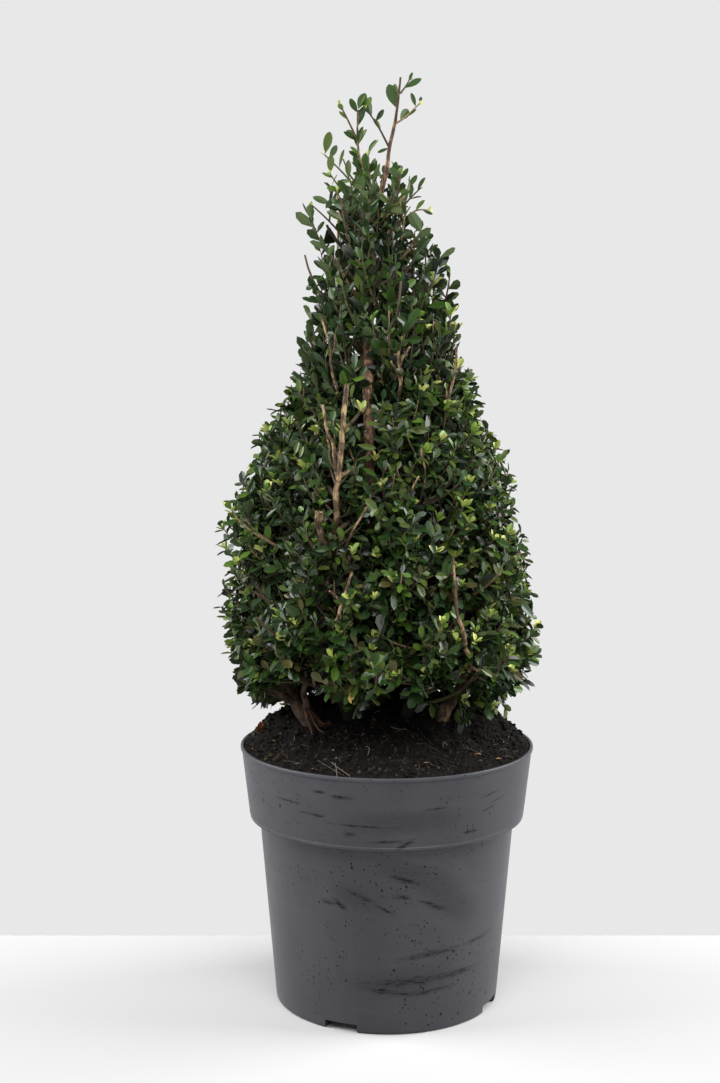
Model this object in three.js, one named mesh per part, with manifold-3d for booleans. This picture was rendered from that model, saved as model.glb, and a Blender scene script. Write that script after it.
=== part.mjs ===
// Potted small-leaved evergreen clipped to a cone: several stems and a trunk in a round nursery pot.
// Millimetres, +Z up. The origin is on the pot's flat underside, on its axis, and the front faces -Y.
import * as THREE from 'three';
import { mergeVertices } from 'three/addons/utils/BufferGeometryUtils.js';
import Module from 'manifold-3d';

const wasm = await Module();
wasm.setup();

// Clearance that touching pieces keep
const CLEARANCE = 0.3;

// Facets smaller than this are merged into their neighbours
const FINEST_EDGE = 0.05;

// Pot: a tapered body with a wide collar, and drain channels under its floor
const POT_HEIGHT = 240;
const RIM_RADIUS = 135;
const COLLAR_RADIUS = 127;
const COLLAR_FOOT = 177;
const SHOULDER_DROP = 7;
const BODY_RADIUS = 117.5;
const BASE_RADIUS = 103;
const BASE_ROUND = 2.5;
const POT_WALL = 2.8;
const LIP_HEIGHT = 4;
const LIP_WIDTH = 1.2;
const POT_SEGMENTS = 40;
const CHANNEL_COUNT = 4;
const CHANNEL_TURN = THREE.MathUtils.degToRad(-114);
const CHANNEL_WIDTH = 31;
const CHANNEL_HEIGHT = 8;
const CHANNEL_START = 58;
const DRAIN_LENGTH = 18;
const DRAIN_WIDTH = 9;

// Potting mix: heaped a little over the rim, level where the stems stand
const SOIL_TOP = 250;
const SOIL_LEVEL_RADIUS = 84;
const SOIL_EDGE_DROP = 6;

// Crown: radius of the clipped surface at each height, as [height, radius], and its lumps
const CROWN_AXIS = new THREE.Vector2(-8, 0);
const CROWN_OUTLINE = [
  [262, 112], [285, 138], [330, 150], [375, 143], [440, 141], [490, 123], [530, 107],
  [562, 90], [630, 76], [665, 64], [700, 58], [745, 40], [790, 22],
];
const CROWN_LUMP = 0.025;

// Levels that part the low masses, the upper masses and the open shoots on top
const LOW_FLOOR = 262;
const LOW_CEILING = 556;
const UPPER_CEILING = 742;
const LEADER_FLOOR = 787;

// Trunk, from a flat cut on the potting mix to its tip, as [x, y, height]
const TRUNK_LINE = [[-9, 5, 235], [-19, 3, 400], [-19, 0, 560], [-17, 0, 630], [-10, 0, 715], [0, 0, 766]];
const TRUNK_FOOT_RADIUS = 11;
const TRUNK_TIP_RADIUS = 2;
const ROOT_FLARE = 0.45;
const ROOT_FLARE_REACH = 0.05;
const TRUNK_SIDES = 9;
const TRUNK_STEPS = 16;

// Low stems: short limbs that lean out from the potting mix into the six low masses
const STEM_FOOT_REACH = 50;
const STEM_BEND_REACH = 64;
const STEM_TIP_REACH = 88;
const STEM_BEND_HEIGHT = 264;
const STEM_TIP_HEIGHT = 285;
const STOUT_STEM_RADIUS = 9;
const SLIM_STEM_RADIUS = 7;
const STEM_SIDES = 8;
const STEM_STEPS = 5;

// Boughs of the upper masses, which leave the trunk in turn, and of the shoots on top
const UPPER_BOUGH_START = 0.575;
const UPPER_BOUGH_STEP = 0.02;
const UPPER_BOUGH_END = 0.66;
const UPPER_BOUGH_REACH = 15;
const UPPER_BOUGH_RADIUS = 4.2;
const BOUGH_SAG = 0.14;
const LIMB_TAPER = 0.74;
const BOUGH_SIDES = 6;
const BOUGH_STEPS = 4;

// Foliage cores: slices of the crown with room left round the trunk and the boughs
const SEAM = 1.2;
const CORE_EDGE = 0.6;
const SKIRT_DEPTH = 32;
const CORE_DEPTH = 19;
const CORE_LUMP = 4.5;
const CORE_COLUMNS = 24;
const CORE_ROWS = 4;
const TRUNK_ROOM_FOOT = 58;
const TRUNK_ROOM_TIP = 8;
const LIMB_MARGIN = 2;
const MASS_STEM_LENGTH = 34;

// Twigs and leaves, which are fewer and larger than life
const LOW_TWIGS = 10;
const UPPER_TWIGS = 11;
const TWIG_RADIUS = 2.8;
const TWIG_TIP_RADIUS = 1.8;
const TWIG_SINK = 14;
const TWIG_RISE = 30;
const TWIG_EDGE = 9;
const TWIG_SPREAD = 0.84;
const SIDE_TWIG_REACH = 14;
const SIDE_TWIG_RISE = 12;
const LEAVES_ON_A_TWIG = 4;
const FIRST_LEAF = 0.5;
const LAST_LEAF = 0.98;
const LEAF_LENGTH = 38;
const LEAF_WIDTH = 21;
const LEAF_THICKNESS = 1.7;
const LEAF_BROADEST = 0.56;
const LEAF_SINK = 0.8;
const GOLDEN = (Math.sqrt(5) - 1) / 2;
const UP = new THREE.Vector3(0, 0, 1);

// Colours and finishes
const POT_PLASTIC = new THREE.MeshStandardMaterial({ color: 0x505155, roughness: 0.6, metalness: 0 });
const POTTING_MIX = new THREE.MeshStandardMaterial({ color: 0x261d17, roughness: 1, metalness: 0 });
const BARK = new THREE.MeshStandardMaterial({ color: 0x6b533f, roughness: 0.9, metalness: 0 });
const LEAF_GREEN = new THREE.MeshStandardMaterial({ color: 0x2f4a2b, roughness: 0.45, metalness: 0 });

const shrub = new THREE.Group();

// Closed solids from geometry, and back

function solidOf(geometry) {
  geometry.deleteAttribute('normal');
  geometry.deleteAttribute('uv');
  const merged = mergeVertices(geometry, 1e-4);
  return new wasm.Manifold(new wasm.Mesh({
    numProp: 3,
    vertProperties: new Float32Array(merged.attributes.position.array),
    triVerts: new Uint32Array(merged.index.array),
  }));
}

// Joins pieces into one body. A sealed hollow is filled and a loose scrap is dropped, because both
// come apart from the main body when it is taken to pieces.
function fused(solids) {
  const bodies = wasm.Manifold.union(solids).simplify(FINEST_EDGE).decompose();
  return bodies.reduce((main, body) => (body.volume() > main.volume() ? body : main));
}

function addNode(name, solid, material) {
  const mesh = solid.getMesh();
  const geometry = new THREE.BufferGeometry();
  geometry.setAttribute('position', new THREE.BufferAttribute(mesh.vertProperties, 3));
  geometry.setIndex(new THREE.BufferAttribute(mesh.triVerts, 1));
  geometry.computeVertexNormals();
  const node = new THREE.Mesh(geometry, material);
  node.name = name;
  shrub.add(node);
}

function turned(profile, segments) {
  const points = profile.map(([radius, height]) => new THREE.Vector2(radius, height));
  return solidOf(new THREE.LatheGeometry(points, segments).rotateX(Math.PI / 2));
}

// A block that reaches out from the axis between two radii, turned to an angle about the axis
function radialBlock(from, to, width, low, high, angle) {
  const block = new THREE.BoxGeometry(to - from, width, high - low);
  block.translate((from + to) / 2, 0, (low + high) / 2).rotateZ(angle);
  return solidOf(block);
}

// A tapering limb: a many-sided cylinder bent along a path, with an optional swelling at its foot
function limb(path, footRadius, tipRadius, sides, steps, flare = 0) {
  const geometry = new THREE.CylinderGeometry(1, 1, 1, sides, steps);
  const frames = path.computeFrenetFrames(steps);
  const place = geometry.attributes.position;
  for (let i = 0; i < place.count; i += 1) {
    const along = THREE.MathUtils.clamp(place.getY(i) + 0.5, 0, 1);
    const step = Math.round(along * steps);
    const swelling = 1 + flare * Math.exp(-along / ROOT_FLARE_REACH);
    const radius = THREE.MathUtils.lerp(footRadius, tipRadius, along) * swelling;
    const point = path.getPointAt(along);
    point.addScaledVector(frames.normals[step], place.getX(i) * radius);
    point.addScaledVector(frames.binormals[step], -place.getZ(i) * radius);
    place.setXYZ(i, point.x, point.y, point.z);
  }
  return solidOf(geometry);
}

// Pot and potting mix

const channelAngles = Array.from({ length: CHANNEL_COUNT }, (_, i) => (
  CHANNEL_TURN + (i * 2 * Math.PI) / CHANNEL_COUNT
));

// Wall line of the pot from its foot to its rim, at a depth inside the outer face
function wallLine(depth, footHeight) {
  const slope = (BODY_RADIUS - BASE_RADIUS) / (COLLAR_FOOT - SHOULDER_DROP);
  return [
    [BASE_RADIUS + slope * footHeight - depth, footHeight],
    [BODY_RADIUS - depth, COLLAR_FOOT - SHOULDER_DROP],
    [COLLAR_RADIUS - depth - 2, COLLAR_FOOT - SHOULDER_DROP * 0.55],
    [COLLAR_RADIUS - depth, COLLAR_FOOT],
  ];
}

function makePot() {
  const floorTop = POT_WALL;
  const outside = [
    [0, 0],
    [BASE_RADIUS - BASE_ROUND, 0],
    ...wallLine(0, BASE_ROUND),
    [RIM_RADIUS - LIP_WIDTH, POT_HEIGHT - LIP_HEIGHT],
    [RIM_RADIUS, POT_HEIGHT - LIP_HEIGHT * 0.6],
    [RIM_RADIUS, POT_HEIGHT],
  ];
  const inside = [
    [RIM_RADIUS - POT_WALL, POT_HEIGHT],
    ...wallLine(POT_WALL, floorTop).reverse(),
    [0, floorTop],
  ];
  const shell = turned([...outside, ...inside], POT_SEGMENTS);
  const roofs = channelAngles.map((angle) => radialBlock(
    CHANNEL_START - POT_WALL, BASE_RADIUS - POT_WALL / 2, CHANNEL_WIDTH + 2 * POT_WALL,
    floorTop / 2, CHANNEL_HEIGHT + POT_WALL, angle,
  ));
  const channels = channelAngles.map((angle) => radialBlock(
    CHANNEL_START, BASE_RADIUS + POT_WALL * 2, CHANNEL_WIDTH, -POT_WALL, CHANNEL_HEIGHT, angle,
  ));
  const drains = channelAngles.map((angle) => radialBlock(
    CHANNEL_START + DRAIN_WIDTH, CHANNEL_START + DRAIN_WIDTH + DRAIN_LENGTH, DRAIN_WIDTH,
    CHANNEL_HEIGHT / 2, CHANNEL_HEIGHT + 2 * POT_WALL, angle,
  ));
  const body = wasm.Manifold.union([shell, ...roofs]);
  return body.subtract(wasm.Manifold.union([...channels, ...drains]));
}

function makeSoil() {
  const depth = POT_WALL + CLEARANCE;
  const floorTop = POT_WALL + CLEARANCE;
  const edgeHeight = POT_HEIGHT - SOIL_EDGE_DROP;
  const collarSlope = (RIM_RADIUS - COLLAR_RADIUS) / (POT_HEIGHT - COLLAR_FOOT);
  const edgeRadius = COLLAR_RADIUS + collarSlope * (edgeHeight - COLLAR_FOOT) - depth - 1;
  const heap = turned([
    [0, floorTop],
    ...wallLine(depth, floorTop),
    [edgeRadius, edgeHeight],
    [(edgeRadius + SOIL_LEVEL_RADIUS) / 2, SOIL_TOP - SOIL_EDGE_DROP],
    [SOIL_LEVEL_RADIUS, SOIL_TOP],
    [0, SOIL_TOP],
  ], POT_SEGMENTS);
  const rooms = channelAngles.map((angle) => radialBlock(
    CHANNEL_START - POT_WALL - CLEARANCE, RIM_RADIUS, CHANNEL_WIDTH + 2 * depth,
    0, CHANNEL_HEIGHT + depth, angle,
  ));
  return heap.subtract(wasm.Manifold.union(rooms));
}

// Trunk, stems and boughs

const limbRoom = [];
const coreCuts = [];

// Notes where a limb runs, so that cores, twigs and leaves can keep away from it
function keepRoom(path, footRadius, tipRadius) {
  const samples = 24;
  coreCuts.push(limb(path, footRadius + LIMB_MARGIN, tipRadius + LIMB_MARGIN, BOUGH_SIDES, BOUGH_STEPS));
  for (let i = 0; i <= samples; i += 1) {
    const along = i / samples;
    const radius = THREE.MathUtils.lerp(footRadius, tipRadius, along) + LIMB_MARGIN;
    limbRoom.push({ centre: path.getPointAt(along), radius });
  }
}

// A point out from the crown's axis, at an angle and a height
function crownPoint(angle, radius, height) {
  return new THREE.Vector3(
    CROWN_AXIS.x + radius * Math.cos(angle),
    CROWN_AXIS.y + radius * Math.sin(angle),
    height,
  );
}

const trunkPath = new THREE.CatmullRomCurve3(TRUNK_LINE.map((point) => new THREE.Vector3(...point)));

function trunkSolid(extra) {
  return limb(
    trunkPath, TRUNK_FOOT_RADIUS + extra, TRUNK_TIP_RADIUS + extra, TRUNK_SIDES, TRUNK_STEPS, ROOT_FLARE,
  );
}

// Everything under the stems' flat feet, which stand just clear of the potting mix
const ground = solidOf(new THREE.BoxGeometry(4 * RIM_RADIUS, 4 * RIM_RADIUS, SOIL_TOP)
  .translate(0, 0, SOIL_TOP / 2 + CLEARANCE));

function makeTrunk() {
  keepRoom(trunkPath, TRUNK_FOOT_RADIUS, TRUNK_TIP_RADIUS);
  return trunkSolid(0).subtract(ground);
}

function makeStem(angle, footRadius) {
  const path = new THREE.QuadraticBezierCurve3(
    crownPoint(angle, STEM_FOOT_REACH, TRUNK_LINE[0][2]),
    crownPoint(angle, STEM_BEND_REACH, STEM_BEND_HEIGHT),
    crownPoint(angle, STEM_TIP_REACH, STEM_TIP_HEIGHT),
  );
  const tipRadius = footRadius * LIMB_TAPER;
  keepRoom(path, footRadius, tipRadius);
  const solid = limb(path, footRadius, tipRadius, STEM_SIDES, STEM_STEPS).subtract(ground);
  return { path, tipRadius, solid };
}

// A bough leaves the trunk part way up and ends at a given point. Its root saddles the trunk.
function makeBough(trunkShare, tip, footRadius) {
  const root = trunkPath.getPointAt(trunkShare);
  const bend = root.clone().lerp(tip, 0.5).addScaledVector(UP, -BOUGH_SAG * root.distanceTo(tip));
  const path = new THREE.QuadraticBezierCurve3(root, bend, tip);
  const tipRadius = footRadius * LIMB_TAPER;
  keepRoom(path, footRadius, tipRadius);
  const whole = limb(path, footRadius, tipRadius, BOUGH_SIDES, BOUGH_STEPS);
  return { path, tipRadius, solid: fused([whole.subtract(trunkSolid(CLEARANCE))]) };
}

// Foliage

// Seeded random numbers from 0 to 1
function seededRandom(seed) {
  let state = seed;
  return () => {
    state = (Math.imul(state, 1664525) + 1013904223) >>> 0;
    return state / 2 ** 32;
  };
}

function crownRadius(height) {
  const last = CROWN_OUTLINE.length - 1;
  const found = CROWN_OUTLINE.findIndex(([level]) => level >= height);
  const upper = found < 0 ? last : Math.max(found, 1);
  const [lowLevel, lowRadius] = CROWN_OUTLINE[upper - 1];
  const [highLevel, highRadius] = CROWN_OUTLINE[upper];
  return THREE.MathUtils.mapLinear(height, lowLevel, highLevel, lowRadius, highRadius);
}

// The clipped surface is a little lumpy
function surfaceRadius(angle, height) {
  const lumps = Math.sin(3 * angle + height / 37) + Math.sin(5 * angle - height / 23);
  return crownRadius(height) * (1 + CROWN_LUMP * lumps);
}

// A mass's own space between two upright planes through the crown's axis and two levels. Its core
// starts higher than the space where a skirt of leaves hangs under it.
function sectorSpace(centre, width, low, high, skirt) {
  const half = width / 2;
  const sides = [centre - half + Math.PI / 2, centre + half - Math.PI / 2].map((angle) => (
    new THREE.Vector2(Math.cos(angle), Math.sin(angle))
  ));
  return {
    centre,
    width,
    low,
    high,
    coreLow: low + skirt,
    coreHigh: high - CORE_EDGE,
    holds(point) {
      const across = new THREE.Vector2(point.x, point.y).sub(CROWN_AXIS);
      const level = point.z > low + SEAM / 2 && point.z < high - SEAM / 2;
      return level && sides.every((side) => across.dot(side) > SEAM / 2);
    },
  };
}

// The same test for an open shoot's space, an upright box
function boxSpace(min, max) {
  const box = new THREE.Box3(new THREE.Vector3(...min), new THREE.Vector3(...max));
  return { holds: (point) => box.containsPoint(point) };
}

function clearOfLimbs(point) {
  return limbRoom.every(({ centre, radius }) => point.distanceTo(centre) > radius);
}

// A leaf is a flat eight-faced solid, pointed at both ends and broadest past its middle. One that
// would leave its mass's space or touch a limb is skipped.
function makeLeaf(root, direction, face, length, space) {
  const geometry = new THREE.OctahedronGeometry(1);
  const place = geometry.attributes.position;
  const halfWidth = (LEAF_WIDTH * length) / LEAF_LENGTH / 2;
  for (let i = 0; i < place.count; i += 1) {
    const end = place.getY(i);
    const along = Math.abs(end) > 0.5 ? (end + 1) / 2 : LEAF_BROADEST;
    const height = (place.getZ(i) * LEAF_THICKNESS) / 2;
    place.setXYZ(i, place.getX(i) * halfWidth, along * length - LEAF_SINK, height);
  }
  const side = new THREE.Vector3().crossVectors(direction, face).normalize();
  const normal = new THREE.Vector3().crossVectors(side, direction).normalize();
  geometry.applyMatrix4(new THREE.Matrix4().makeBasis(side, direction, normal).setPosition(root));
  const corners = Array.from({ length: place.count }, (_, i) => (
    new THREE.Vector3().fromBufferAttribute(place, i)
  ));
  const fits = corners.every((corner) => space.holds(corner) && clearOfLimbs(corner));
  return fits ? solidOf(geometry) : null;
}

// A three-sided twig with leaves set alternately along its outer part and one at its tip
function makeTwig(path, outward, space, random) {
  if (!space.holds(path.getPoint(1))) {
    return [];
  }
  const pieces = [limb(path, TWIG_RADIUS, TWIG_TIP_RADIUS, 3, 2)];
  for (let i = 0; i < LEAVES_ON_A_TWIG; i += 1) {
    const share = i / (LEAVES_ON_A_TWIG - 1);
    const along = THREE.MathUtils.lerp(FIRST_LEAF, LAST_LEAF, share);
    const heading = path.getTangentAt(along);
    const across = new THREE.Vector3().crossVectors(heading, outward).normalize();
    const turn = i % 2 ? 1 : -1;
    const direction = heading.clone().multiplyScalar(0.65);
    direction.addScaledVector(across, share < 1 ? turn : 0);
    direction.addScaledVector(outward, 0.3 + 0.3 * random());
    direction.addScaledVector(UP, 0.5 * random() - 0.2).normalize();
    const face = outward.clone().addScaledVector(UP, 0.5 + random()).normalize();
    const length = LEAF_LENGTH * (0.82 + 0.3 * random());
    const leaf = makeLeaf(path.getPointAt(along), direction, face, length, space);
    if (leaf) {
      pieces.push(leaf);
    }
  }
  return pieces;
}

// The crown as one lumpy bell between two levels, set in by the depth of the leaves
function makeBell(low, high) {
  const rows = Array.from({ length: CORE_ROWS + 1 }, (_, i) => {
    const height = THREE.MathUtils.lerp(low, high, i / CORE_ROWS);
    return new THREE.Vector2(crownRadius(height) - CORE_DEPTH, height);
  });
  const profile = [new THREE.Vector2(0, low), ...rows, new THREE.Vector2(0, high)];
  const bell = new THREE.LatheGeometry(profile, CORE_COLUMNS).rotateX(Math.PI / 2);
  const place = bell.attributes.position;
  for (let i = 0; i < place.count; i += 1) {
    const angle = Math.atan2(place.getY(i), place.getX(i));
    const radius = Math.hypot(place.getX(i), place.getY(i));
    const swell = radius > 1 ? CORE_LUMP * Math.sin(7 * angle + place.getZ(i) / 19) : 0;
    const lumpy = crownPoint(angle, radius + swell, place.getZ(i));
    place.setXYZ(i, lumpy.x, lumpy.y, lumpy.z);
  }
  return solidOf(bell);
}

// The core of a clipped mass: its slice of the bell, cut clear of the trunk and the boughs
function makeCore(space) {
  const half = space.width / 2;
  const depth = space.coreHigh - space.coreLow;
  const apex = SEAM / 2 / Math.sin(half);
  const reach = 4 * RIM_RADIUS;
  const slice = new THREE.Shape();
  slice.moveTo(apex, 0);
  slice.lineTo(apex + reach * Math.cos(half), -reach * Math.sin(half));
  slice.lineTo(apex + reach * Math.cos(half), reach * Math.sin(half));
  slice.closePath();
  const wedge = new THREE.ExtrudeGeometry(slice, { depth: 2 * depth, bevelEnabled: false });
  wedge.rotateZ(space.centre).translate(CROWN_AXIS.x, CROWN_AXIS.y, space.coreLow - depth / 2);
  const trunkRoom = limb(trunkPath, TRUNK_ROOM_FOOT, TRUNK_ROOM_TIP, TRUNK_SIDES, TRUNK_STEPS);
  const bell = makeBell(space.coreLow, space.coreHigh);
  return bell.intersect(solidOf(wedge)).subtract(wasm.Manifold.union([trunkRoom, ...coreCuts]));
}

// The stem of a mass goes on from its limb's tip, just clear of it
function makeMassStem({ path, tipRadius }) {
  const tip = path.getPoint(1);
  const heading = path.getTangent(1);
  const line = new THREE.LineCurve3(
    tip.clone().addScaledVector(heading, CLEARANCE),
    tip.clone().addScaledVector(heading, MASS_STEM_LENGTH),
  );
  return limb(line, tipRadius, tipRadius * LIMB_TAPER, BOUGH_SIDES, 1);
}

// A clipped mass: a core on a stem, with leafy twigs that stand out of it to the crown's surface
function makeClippedMass(space, support, twigCount, seed) {
  const random = seededRandom(seed);
  const pieces = [makeCore(space), makeMassStem(support)];
  for (let i = 0; i < twigCount; i += 1) {
    const share = (i * GOLDEN + random() * 0.1) % 1;
    const angle = space.centre + space.width * TWIG_SPREAD * (share - 0.5);
    const height = THREE.MathUtils.lerp(space.low + TWIG_EDGE, space.high - TWIG_EDGE, (i + 0.5) / twigCount);
    const rootHeight = THREE.MathUtils.clamp(
      height - TWIG_RISE, space.coreLow + TWIG_EDGE, space.coreHigh - TWIG_EDGE,
    );
    const tipRadius = surfaceRadius(angle, height) - LEAF_LENGTH / 2;
    const path = new THREE.QuadraticBezierCurve3(
      crownPoint(angle, crownRadius(rootHeight) - CORE_DEPTH - TWIG_SINK, rootHeight),
      crownPoint(angle, tipRadius, THREE.MathUtils.lerp(rootHeight, height, 0.4)),
      crownPoint(angle, tipRadius, height),
    );
    const outward = new THREE.Vector3(Math.cos(angle), Math.sin(angle), 0);
    pieces.push(...makeTwig(path, outward, space, random));
  }
  return fused(pieces);
}

// An open shoot at the top of the crown: a slim stem with leafy side twigs, and no core
function makeShoot(space, support, line, twigCount, seed) {
  const random = seededRandom(seed);
  const tip = support.path.getPoint(1);
  const heading = support.path.getTangent(1);
  const path = new THREE.CatmullRomCurve3([
    tip.clone().addScaledVector(heading, CLEARANCE),
    tip.clone().addScaledVector(heading, 8),
    ...line.map((point) => new THREE.Vector3(...point)),
  ]);
  const pieces = [limb(path, support.tipRadius, TWIG_TIP_RADIUS, 5, 6)];
  for (let i = 0; i <= twigCount; i += 1) {
    const along = THREE.MathUtils.lerp(0.3, 1, i / twigCount);
    const angle = 2 * Math.PI * GOLDEN * i + random();
    const outward = new THREE.Vector3(Math.cos(angle), Math.sin(angle), 0);
    const start = path.getPointAt(along - 0.06);
    const end = path.getPointAt(along).addScaledVector(UP, SIDE_TWIG_RISE);
    end.addScaledVector(outward, i < twigCount ? SIDE_TWIG_REACH : 1);
    const twig = new THREE.QuadraticBezierCurve3(start, start.clone().lerp(end, 0.5), end);
    pieces.push(...makeTwig(twig, outward, space, random));
  }
  return fused(pieces);
}

// The plant put together

addNode('pot', makePot(), POT_PLASTIC);
addNode('soil', makeSoil(), POTTING_MIX);
addNode('trunk', makeTrunk(), BARK);

const lowSides = ['right', 'back_right', 'back_left', 'left', 'front_left', 'front_right'];
const lowMasses = lowSides.map((side, i) => {
  const width = (2 * Math.PI) / lowSides.length;
  const stout = side === 'left' || side === 'right';
  const support = makeStem(i * width, stout ? STOUT_STEM_RADIUS : SLIM_STEM_RADIUS);
  return { side, support, space: sectorSpace(i * width, width, LOW_FLOOR, LOW_CEILING, SKIRT_DEPTH) };
});

const upperSides = ['back_right', 'back_left', 'front'];
const upperMasses = upperSides.map((side, i) => {
  const width = (2 * Math.PI) / upperSides.length;
  const angle = Math.PI / 6 + i * width;
  const outward = new THREE.Vector3(Math.cos(angle), Math.sin(angle), 0);
  const tip = trunkPath.getPointAt(UPPER_BOUGH_END).addScaledVector(outward, UPPER_BOUGH_REACH);
  const support = makeBough(UPPER_BOUGH_START + UPPER_BOUGH_STEP * i, tip, UPPER_BOUGH_RADIUS);
  return { side, support, space: sectorSpace(angle, width, LOW_CEILING, UPPER_CEILING, CORE_EDGE) };
});

const leftLine = [[-26, 1, 775], [-36, 0, 808]];
const rightLine = [[16, -4, 757], [21, -4, 764]];
const leaderLine = [[5, 0, 800], [9, 0, 829]];
const topLeft = makeBough(0.87, new THREE.Vector3(-21, 2, 749), 2.6);
const topRight = makeBough(0.89, new THREE.Vector3(8, -3, 746), 2.4);
const leader = { path: trunkPath, tipRadius: TRUNK_TIP_RADIUS };

lowMasses.forEach(({ side, support, space }, i) => {
  addNode(`stem_${side}`, support.solid, BARK);
  addNode(`foliage_low_${side}`, makeClippedMass(space, support, LOW_TWIGS, 31 + i), LEAF_GREEN);
});
upperMasses.forEach(({ side, support, space }, i) => {
  addNode(`bough_upper_${side}`, support.solid, BARK);
  addNode(`foliage_upper_${side}`, makeClippedMass(space, support, UPPER_TWIGS, 41 + i), LEAF_GREEN);
});

const leftSpace = boxSpace([-80, -36, UPPER_CEILING], [-12, 36, 830]);
const rightSpace = boxSpace([2, -36, UPPER_CEILING], [50, 36, LEADER_FLOOR]);
const leaderSpace = boxSpace([-11, -36, LEADER_FLOOR], [44, 36, 850]);
addNode('bough_top_left', topLeft.solid, BARK);
addNode('bough_top_right', topRight.solid, BARK);
addNode('foliage_top_left', makeShoot(leftSpace, topLeft, leftLine, 5, 61), LEAF_GREEN);
addNode('foliage_top_right', makeShoot(rightSpace, topRight, rightLine, 3, 62), LEAF_GREEN);
addNode('foliage_top_leader', makeShoot(leaderSpace, leader, leaderLine, 5, 63), LEAF_GREEN);

export default shrub;
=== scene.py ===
import math

import bmesh
import bpy
import numpy as np
from mathutils import Matrix, Vector, noise


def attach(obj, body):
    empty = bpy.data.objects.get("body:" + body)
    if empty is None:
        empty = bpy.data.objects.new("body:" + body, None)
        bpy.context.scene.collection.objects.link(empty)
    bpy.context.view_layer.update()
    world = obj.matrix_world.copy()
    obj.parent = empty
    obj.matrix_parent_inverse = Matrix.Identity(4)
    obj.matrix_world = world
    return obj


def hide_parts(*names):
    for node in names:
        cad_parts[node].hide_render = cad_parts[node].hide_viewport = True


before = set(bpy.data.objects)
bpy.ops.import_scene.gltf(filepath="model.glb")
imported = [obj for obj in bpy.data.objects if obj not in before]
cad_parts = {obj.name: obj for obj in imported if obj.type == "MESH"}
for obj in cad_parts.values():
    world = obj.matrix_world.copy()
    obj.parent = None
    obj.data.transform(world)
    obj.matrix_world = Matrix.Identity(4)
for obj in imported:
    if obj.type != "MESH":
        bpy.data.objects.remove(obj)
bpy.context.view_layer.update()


# Nursery pot: dark grey polypropylene, injection moulded in one piece. A tapered body stands under a
# wide collar with a thin lip, and four drain channels open through the foot of its wall.
POT_HEIGHT = 0.240
RIM_RADIUS = 0.135
COLLAR_RADIUS = 0.127
COLLAR_FOOT = 0.177
SHOULDER_DROP = 0.007
BODY_RADIUS = 0.1175
BASE_RADIUS = 0.103
POT_WALL = 0.0028
LIP_HEIGHT = 0.004
LIP_WIDTH = 0.0012
LIP_FACE = 0.7
COLLAR_TURN_IN = 0.0006
COLLAR_TURN_DOWN = 0.0028
FOOT_ROUND = 0.0025
SHOULDER_ROUND = 0.0016
COLLAR_ROUND = 0.0008
LIP_ROUND = 0.0009
CHANNEL_COUNT = 4
CHANNEL_TURN = math.radians(-114)
CHANNEL_WIDTH = 0.031
CHANNEL_HEIGHT = 0.008
CHANNEL_START = 0.058
POT_SEGMENTS = 192
MERGE_DISTANCE = 1e-6
RING_TOLERANCE = 1e-5
SMOOTH_ANGLE = math.radians(38)
POT_GREY = (0.0305, 0.0309, 0.0370, 1)
POT_DUST = (0.0490, 0.0495, 0.0568, 1)
POT_WIPED = (0.0185, 0.0187, 0.0222, 1)
POT_SPLASH = (0.0040, 0.0037, 0.0038, 1)
# A painted highlight for the collar's lower edge
POT_EDGE_HIGHLIGHT = (0.105, 0.106, 0.114, 1)
# Noise is given as (scale, detail, roughness), with the limits between which a pattern fades in
POT_ROUGHNESS = (0.38, 0.50)
POT_GLOSS = (0.29, 0.08)
POT_RELIEF = (0.22, 0.0004)
GRAIN_NOISE = (900, 3)
GRAIN_SHARE = 0.4
DUST_STRETCH = (7, 7, 5)
DUST_NOISE = (1.6, 4)
DUST_LIMITS = (0.40, 0.70)
DUST_SHARE = 0.60
STREAK_STRETCH = (14, 14, 90)
STREAK_NOISE = (1.0, 5)
STREAK_LIMITS = (0.45, 0.75)
STREAK_SHARE = 0.25
# A painted highlight along the collar's lower edge: half its width, and the dust limits over which it grows
EDGE_HIGHLIGHT_HALF_WIDTH = 0.0007
EDGE_HIGHLIGHT_DUST_LIMITS = (-0.6, 0.8)
# Layers of splashed drops, as (cells to the metre, radius in cells, how rare)
POT_DROPS = ((380, 0.285, 0.432), (190, 0.240, 0.588))
DROP_STRETCH = (1, 1, 0.80)
DROP_EDGE = 0.06
LEAST_DROP = 0.02
WET_NOISE = (13, 3)
WET_LIMITS = (0.02, 0.62)
RAGGED_NOISE = (1100, 2)
RAGGED_DEPTH = 0.16
# Patches lie on a round front of this radius, and reach this deep into it
PATCH_RADIUS = 0.123
PATCH_DEPTH = 0.06
# Noise that tears the patches' edges, drawn out along the wall
TORN_STRETCH = (110, 110, 520)
TORN_NOISE = (1.0, 6, 0.8)
# Wiped patches on the front, as (x, height, half width, half height, tilt in degrees)
POT_WIPES = (
    (0.030, 0.146, 0.060, 0.016, -20), (0.058, 0.118, 0.046, 0.020, -32), (0.020, 0.050, 0.080, 0.022, 4),
    (-0.030, 0.128, 0.030, 0.014, -24), (0.010, 0.200, 0.070, 0.014, 2),
)
WIPE_LIMITS = (0.0, 0.7)
WIPE_TORN = (0.10, 0.70)
WIPE_SHARE = 0.8
SMEAR_TORN = (0.25, 0.75)
SMEAR_LIFT = (-1.0, 0.95)
SMEAR_LIMITS = (0.22, 1.0)
SMEAR_CORE = (0.0, 0.30)
HALO_LIMITS = (0.0, 0.9)
HALO_SHARE = 0.42
MARK_SHARE = 0.80
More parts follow.
